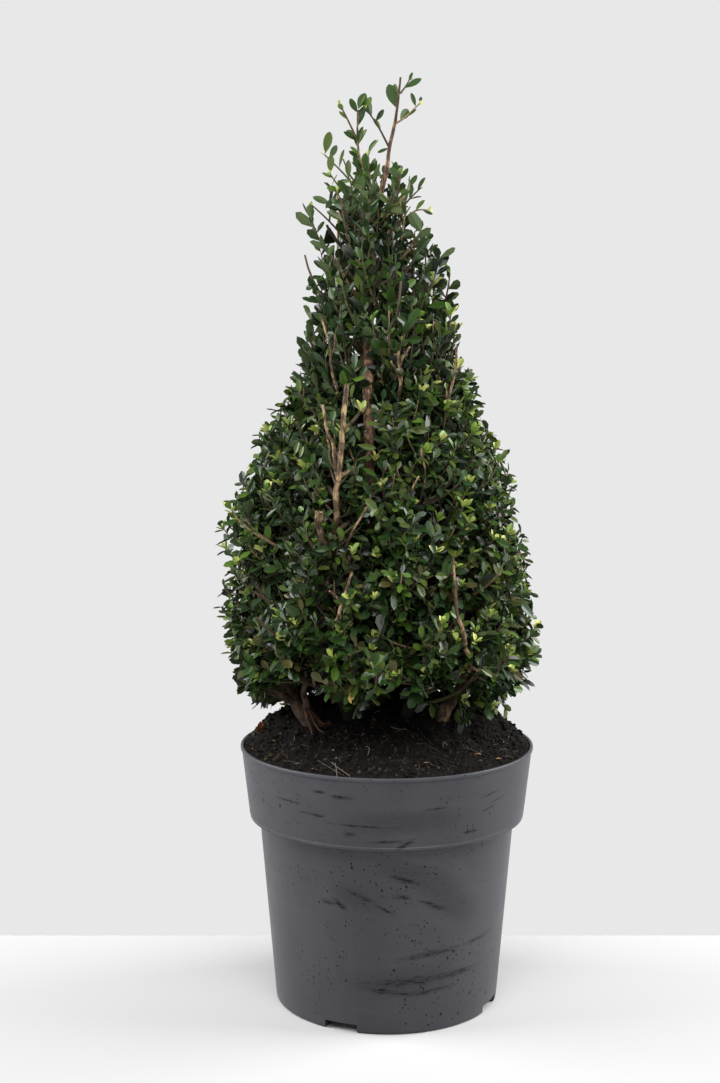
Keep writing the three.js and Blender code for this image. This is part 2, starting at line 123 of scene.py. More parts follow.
# Smears of wet potting mix on the front of the wall, given as the wiped patches are
POT_SMEARS = (
    (0.040, 0.0745, 0.046, 0.0046, 6), (0.082, 0.0790, 0.024, 0.0030, 8), (0.020, 0.0500, 0.066, 0.0060, 3),
    (0.062, 0.0520, 0.036, 0.0044, 4), (0.004, 0.0400, 0.044, 0.0038, -8), (0.036, 0.0390, 0.046, 0.0034, 3),
    (-0.042, 0.1200, 0.012, 0.0040, -38), (-0.024, 0.1290, 0.018, 0.0030, -22),
    (-0.003, 0.1175, 0.016, 0.0022, -28), (0.012, 0.1295, 0.012, 0.0036, -6),
    (0.014, 0.1450, 0.018, 0.0038, -16), (-0.053, 0.1205, 0.009, 0.0036, -10),
    (0.040, 0.1190, 0.022, 0.0034, -26), (-0.060, 0.2245, 0.008, 0.0026, 0),
    (-0.040, 0.2215, 0.016, 0.0030, -3), (-0.086, 0.2110, 0.016, 0.0018, -4),
    (-0.064, 0.2030, 0.016, 0.0020, -2), (-0.022, 0.1965, 0.042, 0.0016, -1),
    (0.070, 0.1860, 0.009, 0.0022, 4), (-0.034, 0.1885, 0.008, 0.0034, 8), (-0.002, 0.1830, 0.022, 0.0020, 3),
    (0.014, 0.1800, 0.014, 0.0040, 28), (0.090, 0.2170, 0.015, 0.0014, 14),
    (0.096, 0.2100, 0.015, 0.0014, 14), (0.088, 0.2040, 0.012, 0.0014, 14),
    (0.040, 0.2110, 0.014, 0.0018, 4),
)


def turned(profile, segments):
    """A closed shell: a profile of (radius, height) points turned once round the upright axis."""
    shell = bmesh.new()
    points = [shell.verts.new((radius, 0, height)) for radius, height in profile]
    edges = [shell.edges.new(pair) for pair in zip(points, points[1:])]
    bmesh.ops.spin(shell, geom=points + edges, axis=(0, 0, 1), cent=(0, 0, 0), angle=math.tau,
                   steps=segments, use_merge=True)
    bmesh.ops.remove_doubles(shell, verts=shell.verts, dist=MERGE_DISTANCE)
    bmesh.ops.recalc_face_normals(shell, faces=shell.faces)
    return shell


def round_ring(shell, radius, height, offset, segments):
    """Rounds the ring of edges that runs round the shell at a radius and a height."""
    def on_ring(vert):
        off = (math.hypot(vert.co.x, vert.co.y) - radius, vert.co.z - height)
        return max(map(abs, off)) < RING_TOLERANCE
    ring = [edge for edge in shell.edges if all(on_ring(vert) for vert in edge.verts)]
    bmesh.ops.bevel(shell, geom=ring, offset=offset, segments=segments, profile=0.5,
                    affect="EDGES", material=-1, clamp_overlap=True)


def piece_of(name, mesh_or_bmesh, materials, smooth_angle=SMOOTH_ANGLE):
    """An object at the origin with the given mesh, smooth but for its sharp edges."""
    mesh = mesh_or_bmesh
    if isinstance(mesh_or_bmesh, bmesh.types.BMesh):
        mesh = bpy.data.meshes.new(name)
        mesh_or_bmesh.to_mesh(mesh)
        mesh_or_bmesh.free()
    mesh.shade_smooth()
    mesh.set_sharp_from_angle(angle=smooth_angle)
    for material in materials:
        mesh.materials.append(material)
    piece = bpy.data.objects.new(name, mesh)
    bpy.context.scene.collection.objects.link(piece)
    return piece


def new_finish(name, roughness, gloss):
    """A material with its shader and the coordinates that its patterns read."""
    material = bpy.data.materials.new(name)
    material.use_nodes = True
    tree = material.node_tree
    shader = tree.nodes["Principled BSDF"]
    shader.inputs["Roughness"].default_value = roughness
    shader.inputs["Specular IOR Level"].default_value = gloss
    place = tree.nodes.new("ShaderNodeTexCoord").outputs["Object"]
    return material, tree, shader, place


def put(tree, kind, inputs, **settings):
    """Adds a node, sets or links its inputs, and gives its first output."""
    made = tree.nodes.new(kind)
    for key, value in settings.items():
        setattr(made, key, value)
    for key, value in inputs.items():
        if isinstance(value, bpy.types.NodeSocket):
            tree.links.new(value, made.inputs[key])
        else:
            made.inputs[key].default_value = value
    return made.outputs[0]


def stretched(tree, place, scale):
    return put(tree, "ShaderNodeMapping", {"Vector": place, "Scale": scale})


def speckle(tree, place, scale, detail=5, roughness=0.6):
    inputs = {"Vector": place, "Scale": scale, "Detail": detail, "Roughness": roughness}
    return put(tree, "ShaderNodeTexNoise", inputs)


def ramp(tree, value, low, high):
    """From 0 at the low value to 1 at the high one."""
    inputs = {"Value": value, "From Min": low, "From Max": high}
    return put(tree, "ShaderNodeMapRange", inputs, interpolation_type="SMOOTHSTEP")


def spread(tree, value, low, high, limits=(0, 1)):
    """From the low value to the high one, while a pattern goes from one of its limits to the other."""
    inputs = {"Value": value, "From Min": limits[0], "From Max": limits[1], "To Min": low, "To Max": high}
    return put(tree, "ShaderNodeMapRange", inputs)


def reckon(tree, operation, one, other=0.0):
    return put(tree, "ShaderNodeMath", {0: one, 1: other}, operation=operation)


def times(tree, one, other):
    return reckon(tree, "MULTIPLY", one, other)


def larger(tree, one, other):
    return reckon(tree, "MAXIMUM", one, other)


def coordinate(tree, place, axis):
    parts = tree.nodes.new("ShaderNodeSeparateXYZ")
    tree.links.new(place, parts.inputs["Vector"])
    return parts.outputs[axis]


def tinted(tree, share, colour, other):
    """A mix of two colours, from the first at share 0 to the second at share 1."""
    mix = tree.nodes.new("ShaderNodeMix")
    mix.data_type = "RGBA"
    for index, value in ((0, share), (6, colour), (7, other)):
        if isinstance(value, bpy.types.NodeSocket):
            tree.links.new(value, mix.inputs[index])
        else:
            mix.inputs[index].default_value = value
    return mix.outputs[2]


def relief(tree, shader, height, strength, distance):
    inputs = {"Height": height, "Strength": strength, "Distance": distance}
    tree.links.new(put(tree, "ShaderNodeBump", inputs), shader.inputs["Normal"])


def splashed(tree, place, scale, radius, rare):
    """Marks of drops, about one to a cell, denser where the wall got wet."""
    cells = tree.nodes.new("ShaderNodeTexVoronoi")
    tree.links.new(stretched(tree, place, DROP_STRETCH), cells.inputs["Vector"])
    cells.inputs["Scale"].default_value = scale
    chance = put(tree, "ShaderNodeSeparateColor", {"Color": cells.outputs["Color"]})
    wet = ramp(tree, speckle(tree, place, *WET_NOISE), *WET_LIMITS)
    size = times(tree, ramp(tree, times(tree, chance, wet), rare, 1.0), radius)
    inside = reckon(tree, "SUBTRACT", size, cells.outputs["Distance"])
    ragged = spread(tree, speckle(tree, place, *RAGGED_NOISE), -RAGGED_DEPTH, RAGGED_DEPTH)
    inside = reckon(tree, "ADD", inside, ragged)
    return times(tree, ramp(tree, inside, -DROP_EDGE, DROP_EDGE), ramp(tree, size, 0.0, LEAST_DROP))


def patch(tree, place, x, height, half_width, half_height, tilt):
    """From 1 in the middle of a long patch on the pot's front to 0 at its edge."""
    depth = -math.sqrt(PATCH_RADIUS ** 2 - x ** 2)
    inputs = {"Vector": place, "Location": (x, depth, height), "Rotation": (0, -math.radians(tilt), 0),
              "Scale": (half_width, PATCH_DEPTH, half_height)}
    within = put(tree, "ShaderNodeMapping", inputs, vector_type="TEXTURE")
    near = tree.nodes.new("ShaderNodeTexGradient")
    near.gradient_type = "SPHERICAL"
    tree.links.new(within, near.inputs["Vector"])
    return near.outputs["Fac"]


def make_pot_plastic():
    """Grey plastic with dust, a painted highlight along the collar's lower edge, and splashes and smears of
    wet potting mix.
    """
    material, tree, shader, place = new_finish("pot_plastic", POT_ROUGHNESS[0], POT_GLOSS[0])
    dust = ramp(tree, speckle(tree, stretched(tree, place, DUST_STRETCH), *DUST_NOISE), *DUST_LIMITS)
    streaks = ramp(tree, speckle(tree, stretched(tree, place, STREAK_STRETCH), *STREAK_NOISE), *STREAK_LIMITS)
    colour = tinted(tree, times(tree, dust, DUST_SHARE), POT_GREY, POT_DUST)
    colour = tinted(tree, times(tree, streaks, STREAK_SHARE), colour, POT_DUST)
    torn = speckle(tree, stretched(tree, place, TORN_STRETCH), *TORN_NOISE)
    for wipe in POT_WIPES:
        share = ramp(tree, patch(tree, place, *wipe), *WIPE_LIMITS)
        share = times(tree, share, ramp(tree, torn, *WIPE_TORN))
        colour = tinted(tree, times(tree, share, WIPE_SHARE), colour, POT_WIPED)
    # Painted highlight: a lighter line along the collar's lower edge, stronger where there is dust
    off = reckon(tree, "SUBTRACT", coordinate(tree, place, "Z"), COLLAR_FOOT)
    line = ramp(tree, reckon(tree, "ABSOLUTE", off), EDGE_HIGHLIGHT_HALF_WIDTH, 0.0)
    colour = tinted(tree, times(tree, line, ramp(tree, dust, *EDGE_HIGHLIGHT_DUST_LIMITS)), colour, POT_EDGE_HIGHLIGHT)

    marks = 0.0
    for layer in POT_DROPS:
        marks = larger(tree, splashed(tree, place, *layer), marks)
    for smear in POT_SMEARS:
        near = patch(tree, place, *smear)
        edge = reckon(tree, "ADD", near, spread(tree, torn, *SMEAR_LIFT, SMEAR_TORN))
        streak = times(tree, ramp(tree, edge, *SMEAR_LIMITS), ramp(tree, near, *SMEAR_CORE))
        halo = times(tree, ramp(tree, near, *HALO_LIMITS), HALO_SHARE)
        marks = larger(tree, larger(tree, marks, streak), halo)
    colour = tinted(tree, times(tree, marks, MARK_SHARE), colour, POT_SPLASH)
    tree.links.new(colour, shader.inputs["Base Color"])
    tree.links.new(spread(tree, dust, *POT_ROUGHNESS), shader.inputs["Roughness"])
    tree.links.new(spread(tree, marks, *POT_GLOSS), shader.inputs["Specular IOR Level"])
    grain = times(tree, speckle(tree, place, *GRAIN_NOISE), GRAIN_SHARE)
    relief(tree, shader, larger(tree, grain, marks), *POT_RELIEF)
    return material


body_top = COLLAR_FOOT - SHOULDER_DROP
floor_top = CHANNEL_HEIGHT + POT_WALL
pot_shell = turned((
    (0, 0), (BASE_RADIUS, 0), (BODY_RADIUS, body_top),
    (COLLAR_RADIUS - COLLAR_TURN_IN, COLLAR_FOOT - COLLAR_TURN_DOWN), (COLLAR_RADIUS, COLLAR_FOOT),
    (RIM_RADIUS - LIP_WIDTH, POT_HEIGHT - LIP_HEIGHT), (RIM_RADIUS, POT_HEIGHT - LIP_HEIGHT * LIP_FACE),
    (RIM_RADIUS, POT_HEIGHT), (RIM_RADIUS - POT_WALL, POT_HEIGHT), (COLLAR_RADIUS - POT_WALL, COLLAR_FOOT),
    (BODY_RADIUS - POT_WALL, body_top), (BASE_RADIUS - POT_WALL, floor_top), (0, floor_top),
), POT_SEGMENTS)
for radius, height, size, segments in (
    (BASE_RADIUS, 0, FOOT_ROUND, 3), (BODY_RADIUS, body_top, SHOULDER_ROUND, 3),
    (COLLAR_RADIUS, COLLAR_FOOT, COLLAR_ROUND, 2), (RIM_RADIUS, POT_HEIGHT, LIP_ROUND, 3),
    (RIM_RADIUS - POT_WALL, POT_HEIGHT, LIP_ROUND, 3),
):
    round_ring(pot_shell, radius, height, size, segments)
uncut_pot = piece_of("uncut_pot", pot_shell, [])
channels = bmesh.new()
for i in range(CHANNEL_COUNT):
    length = BASE_RADIUS + 2 * POT_WALL - CHANNEL_START
    size = Matrix.Diagonal((length, CHANNEL_WIDTH, 2 * CHANNEL_HEIGHT, 1))
    turn = Matrix.Rotation(CHANNEL_TURN + math.tau * i / CHANNEL_COUNT, 4, "Z")
    place = turn @ Matrix.Translation((CHANNEL_START + length / 2, 0, 0))
    bmesh.ops.create_cube(channels, size=1, matrix=place @ size)
channel_blocks = piece_of("channel_blocks", channels, [])
cut = uncut_pot.modifiers.new("drain_channels", "BOOLEAN")
cut.operation = "DIFFERENCE"
cut.solver = "EXACT"
cut.object = channel_blocks
ready = bpy.context.evaluated_depsgraph_get()
cut_mesh = bpy.data.meshes.new_from_object(uncut_pot.evaluated_get(ready))
bpy.data.objects.remove(uncut_pot)
bpy.data.objects.remove(channel_blocks)
pot = piece_of("moulded_pot", cut_mesh, [make_pot_plastic()])
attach(pot, "root")
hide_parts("pot")


# Potting mix: moist dark peat, heaped a little over the rim where the stems stand. Its surface is
# crumbly, with loose crumbs, pale root threads and a few fallen leaves lying on it.
SOIL_TOP = 0.250
SOIL_EDGE_RADIUS = 0.1313
SOIL_EDGE_HEIGHT = 0.2390
# Height of the heap by radius, at the front and at the back, where it stands higher
SOIL_RADII = (0, 0.035, 0.070, 0.088, 0.110, SOIL_EDGE_RADIUS)
SOIL_FRONT = (0.268, 0.266, 0.2565, 0.2515, 0.2455, SOIL_EDGE_HEIGHT)
SOIL_BACK = (0.283, 0.282, 0.2780, 0.2725, 0.2600, SOIL_EDGE_HEIGHT + 0.001)
SOIL_TURN = (-0.035, 0.030)
SOIL_DEPTH = 0.045
SOIL_CLEARANCE = 0.0005
SOIL_RINGS = 56
SOIL_SEGMENTS = 260
# Lumps of its surface, as (height, lumps to the metre, level in the noise), which fade out at the wall
SOIL_LUMPS = ((0.0034, 38, 1.7), (0.0022, 110, 5.3), (0.0016, 290, 9.1))
SOIL_FADE = 0.008
EDGE_LUMPS = 0.25
PEAT_DARK = (0.0021, 0.0017, 0.0015, 1)
PEAT_BROWN = (0.0090, 0.0061, 0.0048, 1)
# Finishes are given as (roughness, gloss), and relief as (strength, depth)
PEAT_FINISH = (0.95, 0.12)
PEAT_GRAINS = (330, 6, 0.7)
PEAT_GRAIN_LIMITS = (0.38, 0.70)
PEAT_PATCHES = (42, 3, 0.6)
PEAT_PATCH_LIMITS = (0.35, 0.68)
PEAT_CRUMBLE = (520, 6, 0.75)
PEAT_RELIEF = (0.9, 0.0012)
CRUMB_COUNT = 5200
CRUMB_REACH = 0.1298
LEAST_CRUMB = 0.0006
CRUMB_GROWTH = 0.0016
CRUMB_LIFT = 0.2
CRUMB_FORM = (0.55, 1.30)
CRUMB_ROUGH = (0.75, 1.25)
CRUMB_FINISH = (0.95, 0.1)
CRUMB_SEED = 11
CRUMB_TINTS = ((0.0045, 0.0034, 0.0030), (0.010, 0.0069, 0.0054), (0.019, 0.0131, 0.0102),
               (0.042, 0.0315, 0.0254), (0.032, 0.036, 0.016), (0.20, 0.19, 0.17))
CRUMB_SHARES = (0.42, 0.34, 0.195, 0.04, 0, 0.002)
# Mossy crumbs lie by the left rim
MOSS_EDGE = -0.092
MOSS_SHARE = 0.22
MOSS_TINT = 4


def heap_height(x, y):
    """Height of the heap's even surface under a point."""
    radius = np.hypot(x, y)
    front, back = np.interp(radius, SOIL_RADII, SOIL_FRONT), np.interp(radius, SOIL_RADII, SOIL_BACK)
    return front + (back - front) * np.interp(y, SOIL_TURN, (0, 1))


def soil_height(x, y):
    """Height of the lumpy surface under a point. The lumps fade out at the pot's wall."""
    hold = min(1.0, max(0.0, (SOIL_EDGE_RADIUS - math.hypot(x, y)) / SOIL_FADE))
    lumps = sum(height * noise.noise(Vector((x * scale, y * scale, level)))
                for height, scale, level in SOIL_LUMPS)
    return float(heap_height(x, y)) + lumps * (EDGE_LUMPS + (1 - EDGE_LUMPS) * hold)


def make_peat():
    material, tree, shader, place = new_finish("peat", *PEAT_FINISH)
    grains = ramp(tree, speckle(tree, place, *PEAT_GRAINS), *PEAT_GRAIN_LIMITS)
    patches = ramp(tree, speckle(tree, place, *PEAT_PATCHES), *PEAT_PATCH_LIMITS)
    colour = tinted(tree, times(tree, grains, patches), PEAT_DARK, PEAT_BROWN)
    tree.links.new(colour, shader.inputs["Base Color"])
    relief(tree, shader, speckle(tree, place, *PEAT_CRUMBLE), *PEAT_RELIEF)
    return material


def plain_finishes(name, colours, roughness, gloss):
    """The even colours that are dealt out over many small things."""
    finishes = []
    for i, colour in enumerate(colours):
        material = bpy.data.materials.new(f"{name}_{i}")
        material.use_nodes = True
        shader = material.node_tree.nodes["Principled BSDF"]
        shader.inputs["Base Color"].default_value = (*colour, 1)
        shader.inputs["Roughness"].default_value = roughness
        shader.inputs["Specular IOR Level"].default_value = gloss
        finishes.append(material)
    return finishes


def joined(name, verts, faces, tints, finishes, smooth_angle=SMOOTH_ANGLE):
    """Many small things as one piece that rides on the plant. Each face has the index of its finish."""
    mesh = bpy.data.meshes.new(name)
    mesh.from_pydata(verts.tolist(), [], faces.tolist())
    piece = piece_of(name, mesh, finishes, smooth_angle)
    mesh.polygons.foreach_set("material_index", np.asarray(tints, dtype=np.int32))
    mesh.update()
    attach(piece, "root")
    return piece


def unit(vectors):
    return vectors / np.maximum(np.linalg.norm(vectors, axis=-1, keepdims=True), 1e-9)


def dealt(rng, shares, count):
    """Indices drawn by the given shares."""
    return rng.choice(len(shares), size=count, p=np.array(shares) / sum(shares))


def ranged(rng, low, high, size):
    """Random values between two limits."""
    return low + (high - low) * rng.random(size)


soil_foot = SOIL_EDGE_HEIGHT - SOIL_DEPTH
rings = [(SOIL_EDGE_RADIUS * (1 - i / SOIL_RINGS), SOIL_TOP) for i in range(SOIL_RINGS)]
soil_foot_radius = COLLAR_RADIUS - POT_WALL - SOIL_CLEARANCE
heap = turned([(0, soil_foot), (soil_foot_radius, soil_foot), *rings, (0, SOIL_TOP)], SOIL_SEGMENTS)
for vert in heap.verts:
    if vert.co.z > SOIL_EDGE_HEIGHT:
        vert.co.z = soil_height(vert.co.x, vert.co.y)
heap.normal_update()
soil = piece_of("potting_mix", heap, [make_peat()])
soil.data.shade_smooth()
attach(soil, "root")
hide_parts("soil")

rng = np.random.default_rng(CRUMB_SEED)
grain = bmesh.new()
bmesh.ops.create_icosphere(grain, subdivisions=1, radius=1)
grain_verts = np.array([vert.co for vert in grain.verts])
grain_faces = np.array([[vert.index for vert in face.verts] for face in grain.faces])
grain.free()
reach = CRUMB_REACH * np.sqrt(rng.random(CRUMB_COUNT))
turn = math.tau * rng.random(CRUMB_COUNT)
crumb_x, crumb_y = reach * np.cos(turn), reach * np.sin(turn)
crumb_size = LEAST_CRUMB + CRUMB_GROWTH * rng.random(CRUMB_COUNT) ** 3
crumb_form = ranged(rng, *CRUMB_FORM, (CRUMB_COUNT, 1, 3))
crumb_rough = ranged(rng, *CRUMB_ROUGH, (CRUMB_COUNT, len(grain_verts), 1))
crumb_z = np.array([soil_height(x, y) for x, y in zip(crumb_x, crumb_y)]) + CRUMB_LIFT * crumb_size
crumb_place = np.stack((crumb_x, crumb_y, crumb_z), axis=1)
crumb_verts = grain_verts * crumb_form * crumb_rough * crumb_size[:, None, None] + crumb_place[:, None, :]
crumb_faces = grain_faces + (np.arange(CRUMB_COUNT) * len(grain_verts))[:, None, None]
crumb_tints = dealt(rng, CRUMB_SHARES, CRUMB_COUNT)
crumb_tints[(crumb_x < MOSS_EDGE) & (rng.random(CRUMB_COUNT) < MOSS_SHARE)] = MOSS_TINT
crumb_tints = np.repeat(crumb_tints, len(grain_faces))
joined("peat_crumbs", crumb_verts.reshape(-1, 3), crumb_faces.reshape(-1, 3), crumb_tints,
       plain_finishes("crumb", CRUMB_TINTS, *CRUMB_FINISH))


# Root threads: fine pale roots and bits of straw that lie on the potting mix, most of them near its
# edge. Each is a thin bent strand.
THREAD_COUNT = 170
THREAD_POINTS = 6
THREAD_RADIUS = 0.00011
THREAD_VARIETY = (0.6, 1.4)
THREAD_SIDES = 4
THREAD_REACH = 0.126
THREAD_CROWDING = 0.35
THREAD_CURL = 0.9
LEAST_THREAD = 0.006
THREAD_GROWTH = 0.014
THREAD_LIFT = 0.0006
THREAD_ARCH = 0.0016
THREAD_TINTS = ((0.24, 0.21, 0.17), (0.10, 0.074, 0.052), (0.042, 0.030, 0.022))
THREAD_SHARES = (0.12, 0.38, 0.50)
THREAD_FINISH = (0.8, 0.3)
# Threads that hang over the front of the rim, as (x at the start, x at the end, drop under the rim).
# They start at this radius and height over the rim, and pass it after this share of their length.
RIM_THREADS = ((-0.062, -0.036, 0.002), (-0.050, -0.030, 0.009), (-0.046, -0.044, 0.001))
RIM_THREAD_RADIUS = 0.112
RIM_THREAD_REACH = 0.0245
RIM_THREAD_HEIGHT = 0.006
RIM_THREAD_FALL = 0.005
RIM_PASSED = 0.8
TUBE_END = 0.6


def tubes(lines, radii, sides):
    """Closed tubes along many lines of the same number of points, as vertices and faces."""
    count, rows = lines.shape[:2]
    heading = unit(np.gradient(lines, axis=1))
    chord = np.abs(lines[:, -1] - lines[:, 0])
    guide = np.eye(3)[np.argmin(chord, axis=1)][:, None, :]
    across = unit(np.cross(heading, guide))
    upright = np.cross(heading, across)
    turn = np.arange(sides) * math.tau / sides
    spoke = np.cos(turn)[:, None] * across[:, :, None, :] + np.sin(turn)[:, None] * upright[:, :, None, :]
    rings = lines[:, :, None, :] + radii[:, :, None, None] * spoke
    beyond = np.array((-TUBE_END, TUBE_END))[:, None]
    ends = lines[:, [0, -1]] + heading[:, [0, -1]] * radii[:, [0, -1], None] * beyond
    verts = np.concatenate((rings.reshape(count, rows * sides, 3), ends), axis=1)
    faces = []
    for side in range(sides):
        beside = (side + 1) % sides
        for row in range(rows - 1):
            low, high = row * sides, (row + 1) * sides
            faces.append((low + side, low + beside, high + beside))
            faces.append((low + side, high + beside, high + side))
        faces.append((rows * sides, beside, side))
        last = (rows - 1) * sides
        faces.append((last + side, last + beside, rows * sides + 1))
    faces = np.array(faces) + (np.arange(count) * verts.shape[1])[:, None, None]
    return verts.reshape(-1, 3), faces.reshape(-1, 3)


def over_rim(start, end, drop):
    """A thread from the potting mix over the rim, with its end hanging outside."""
    line = []
    for share in np.linspace(0, 1, THREAD_POINTS):
        out = min(1, share / RIM_PASSED)
        hang = max(0, share - RIM_PASSED) / (1 - RIM_PASSED)
        radius = RIM_THREAD_RADIUS + RIM_THREAD_REACH * out
        height = POT_HEIGHT + RIM_THREAD_HEIGHT - RIM_THREAD_FALL * out - drop * hang
        line.append((start + (end - start) * share, -math.sqrt(radius ** 2 - start ** 2), height))
    return line


reach = THREAD_REACH * rng.random(THREAD_COUNT) ** THREAD_CROWDING
turn = math.tau * rng.random(THREAD_COUNT)
heading = math.tau * rng.random(THREAD_COUNT)
curl = rng.normal(0, THREAD_CURL, THREAD_COUNT)
length = LEAST_THREAD + THREAD_GROWTH * rng.random(THREAD_COUNT) ** 2
share = np.linspace(-0.5, 0.5, THREAD_POINTS)
way = heading[:, None] + curl[:, None] * share
thread_x = (reach * np.cos(turn))[:, None] + length[:, None] * share * np.cos(way)
thread_y = (reach * np.sin(turn))[:, None] + length[:, None] * share * np.sin(way)
thread_z = np.array([[soil_height(x, y) for x, y in zip(*row)] for row in zip(thread_x, thread_y)])
thread_z += THREAD_LIFT + THREAD_ARCH * rng.random((THREAD_COUNT, 1)) * (1 - 4 * share ** 2)
threads = np.stack((thread_x, thread_y, thread_z), axis=2)
threads = np.concatenate((threads, [over_rim(*thread) for thread in RIM_THREADS]))
thread_radii = np.full(threads.shape[:2], THREAD_RADIUS) * ranged(rng, *THREAD_VARIETY, (len(threads), 1))
thread_verts, thread_faces = tubes(threads, thread_radii, THREAD_SIDES)
thread_tints = dealt(rng, THREAD_SHARES, THREAD_COUNT)
thread_tints = np.concatenate((thread_tints, np.zeros(len(RIM_THREADS), dtype=int)))
thread_tints = np.repeat(thread_tints, len(thread_faces) // len(threads))
joined("root_threads", thread_verts, thread_faces, thread_tints,
       plain_finishes("thread", THREAD_TINTS, *THREAD_FINISH))


# Trunk, stems and boughs: one upright trunk and six low stems that stand in the potting mix, with
# boughs off the trunk. Their wood goes on into the crown, where old cuts end it. The bark is thin and
# cracked, and dark at its foot with wet potting mix and with painted shade under the crown's hem.
TRUNK_LINE = ((-0.009, 0.005, 0.235), (-0.019, 0.003, 0.400), (-0.018, 0, 0.560), (-0.017, 0, 0.630),
              (-0.010, 0, 0.715), (0, 0, 0.766))
TRUNK_CURVE_STEPS = 20
TRUNK_STEP = 0.004
TRUNK_FOOT_RADIUS = 0.011
TRUNK_TIP_RADIUS = 0.002
ROOT_FLARE = 0.45
ROOT_FLARE_REACH = 0.05
# The crown's axis sways a little, given as (height, x)
CROWN_AXIS = ((0.285, -0.0045), (0.320, -0.0070), (0.365, -0.0095), (0.460, -0.0100), (0.540, -0.0065),
              (0.600, -0.0015), (0.690, -0.0085), (0.715, -0.0180))
# Stems rise by one rule, given as radii from that axis and heights
LOW_SIDES = ("right", "back_right", "back_left", "left", "front_left", "front_right")
STEM_FOOT = (0.050, 0.235)
STEM_BEND = (0.064, 0.264)
STEM_TIP = (0.088, 0.285)
# Stems that leave this rule: how they rise from the potting mix, as (x, y, height)
STEM_RISES = {
    "left": ((-0.050, -0.020, 0.235), (-0.066, -0.020, 0.260), (-0.0835, -0.018, 0.280),
             (-0.0965, -0.016, 0.298)),
    "right": ((0.042, -0.014, 0.235), (0.054, -0.017, 0.276), (0.071, -0.022, 0.302),
              (0.082, -0.020, 0.322)),
    "front_left": ((-0.030, -0.012, 0.235), (-0.036, -0.022, 0.270), (-0.046, -0.044, 0.300),
                   (-0.054, -0.068, 0.330)),
    "front_right": ((0.012, -0.012, 0.235), (0.018, -0.022, 0.270), (0.028, -0.044, 0.300),
                    (0.032, -0.062, 0.330)),
}
# Where the wood of each low mass goes on to in the crown, up to its old cut
LOW_WOOD = {
    "right": ((0.088, -0.016, 0.345), (0.078, -0.036, 0.420), (0.060, -0.050, 0.500)),
    "back_right": ((0.052, 0.088, 0.360), (0.044, 0.084, 0.450), (0.030, 0.066, 0.545)),
    "back_left": ((-0.066, 0.090, 0.350), (-0.060, 0.084, 0.440), (-0.046, 0.062, 0.540)),
    "left": ((-0.104, -0.020, 0.350), (-0.096, -0.030, 0.430), (-0.078, -0.034, 0.515)),
    "front_left": ((-0.058, -0.092, 0.365), (-0.047, -0.106, 0.450), (-0.0435, -0.112, 0.494),
                   (-0.036, -0.090, 0.572)),
    "front_right": ((0.030, -0.076, 0.360), (-0.008, -0.078, 0.430), (-0.0165, -0.075, 0.500),
                    (-0.0175, -0.062, 0.562), (-0.0175, -0.030, 0.616)),
}
# Forks that leave these stems low down
STEM_FORKS = {
    "left": (((-0.071, -0.021, 0.266), (-0.076, -0.030, 0.292), (-0.071, -0.048, 0.326)),
             ((-0.081, -0.018, 0.277), (-0.101, -0.030, 0.296), (-0.113, -0.046, 0.318))),
    "right": (((0.068, -0.021, 0.299), (0.070, -0.070, 0.322), (0.065, -0.114, 0.354)),
              ((0.060, -0.018, 0.286), (0.082, -0.012, 0.298), (0.104, -0.010, 0.312))),
}
STEM_RADII = {"right": 0.0075, "left": 0.0088}
SLIM_STEM_RADIUS = 0.0052
STEM_TAPER = 1.9
STEM_FLARE = 0.25
CUT_RADIUS = 0.0022
CUT_RADII = {"front_right": 0.0046}
FORK_RADII = (0.0036, 0.0016)
# Upper boughs leave the trunk at these shares of its length, and then turn up
UPPER_SIDES = ("back_right", "back_left", "front")
UPPER_TURN = math.pi / 6
UPPER_BOUGH_START = 0.575
UPPER_BOUGH_STEP = 0.02
UPPER_BOUGH_END = 0.66
UPPER_BOUGH_REACH = 0.015
UPPER_BOUGH_RADII = (0.0042, 0.0012)
UPPER_BOUGH_TAPER = 1.4
# How far out and up they go on from there
UPPER_ONWARD = ((0.014, 0.045), (0.016, 0.105))
BOUGH_SAG = 0.14
BOUGH_STEPS = 6
CURVE_STEPS = 8
LIMB_SIDES = 20
LIMB_STEP = 0.003
# Limbs are a little crooked, by noise whose seed is set here, because it is else taken from the clock
CROOK = 0.0036
CROOK_SCALE = 55
CROOK_SEED = 7
# Cracks, lumps and flakes of the bark, as (depth by radius, scale round the limb and along it, offset)
BARK_LIFTS = ((0.13, 420, 70, 0), (0.20, 90, 60, 4), (0.06, 900, 300, 9))
FIBRE_STRETCH = (420, 420, 60)
FIBRE_NOISE = (1.0, 6, 0.65)
FIBRE_LIMITS = (0.34, 0.66)
FLAKE_NOISE = (95, 4)
FLAKE_LIMITS = (0.45, 0.58)
FLAKE_FIBRES = (0.34, 0.62)
# Wet stain and painted shade under the crown's hem darken the bark's foot in patches, between these heights
STAIN_AND_SHADE_HEIGHTS = (0.345, 0.290)
STAIN_AND_SHADE_NOISE = (60, 3)
STAIN_AND_SHADE_LIMITS = (0.18, 0.44)
BARK_RELIEF = (0.7, 0.0010)
BARK_FINISH = (0.85, 0.25)
CUT_FINISH = (0.8, 0.25)
# Bark colours, as dark cracks, brown and light flakes, and the share of wet stain and painted shade at the
# foot
TRUNK_BARK = ((0.020, 0.012, 0.009, 1), (0.105, 0.053, 0.031, 1), (0.250, 0.155, 0.092, 1), 1.0)
STEM_COLOURS = ((0.026, 0.017, 0.011, 1), (0.090, 0.055, 0.029, 1), (0.300, 0.205, 0.110, 1))
STOUT_BARK = ((0.013, 0.0085, 0.0062, 1), (0.074, 0.043, 0.027, 1), (0.180, 0.108, 0.066, 1), 0.50)
RIGHT_STAIN_AND_SHADE = 0.55
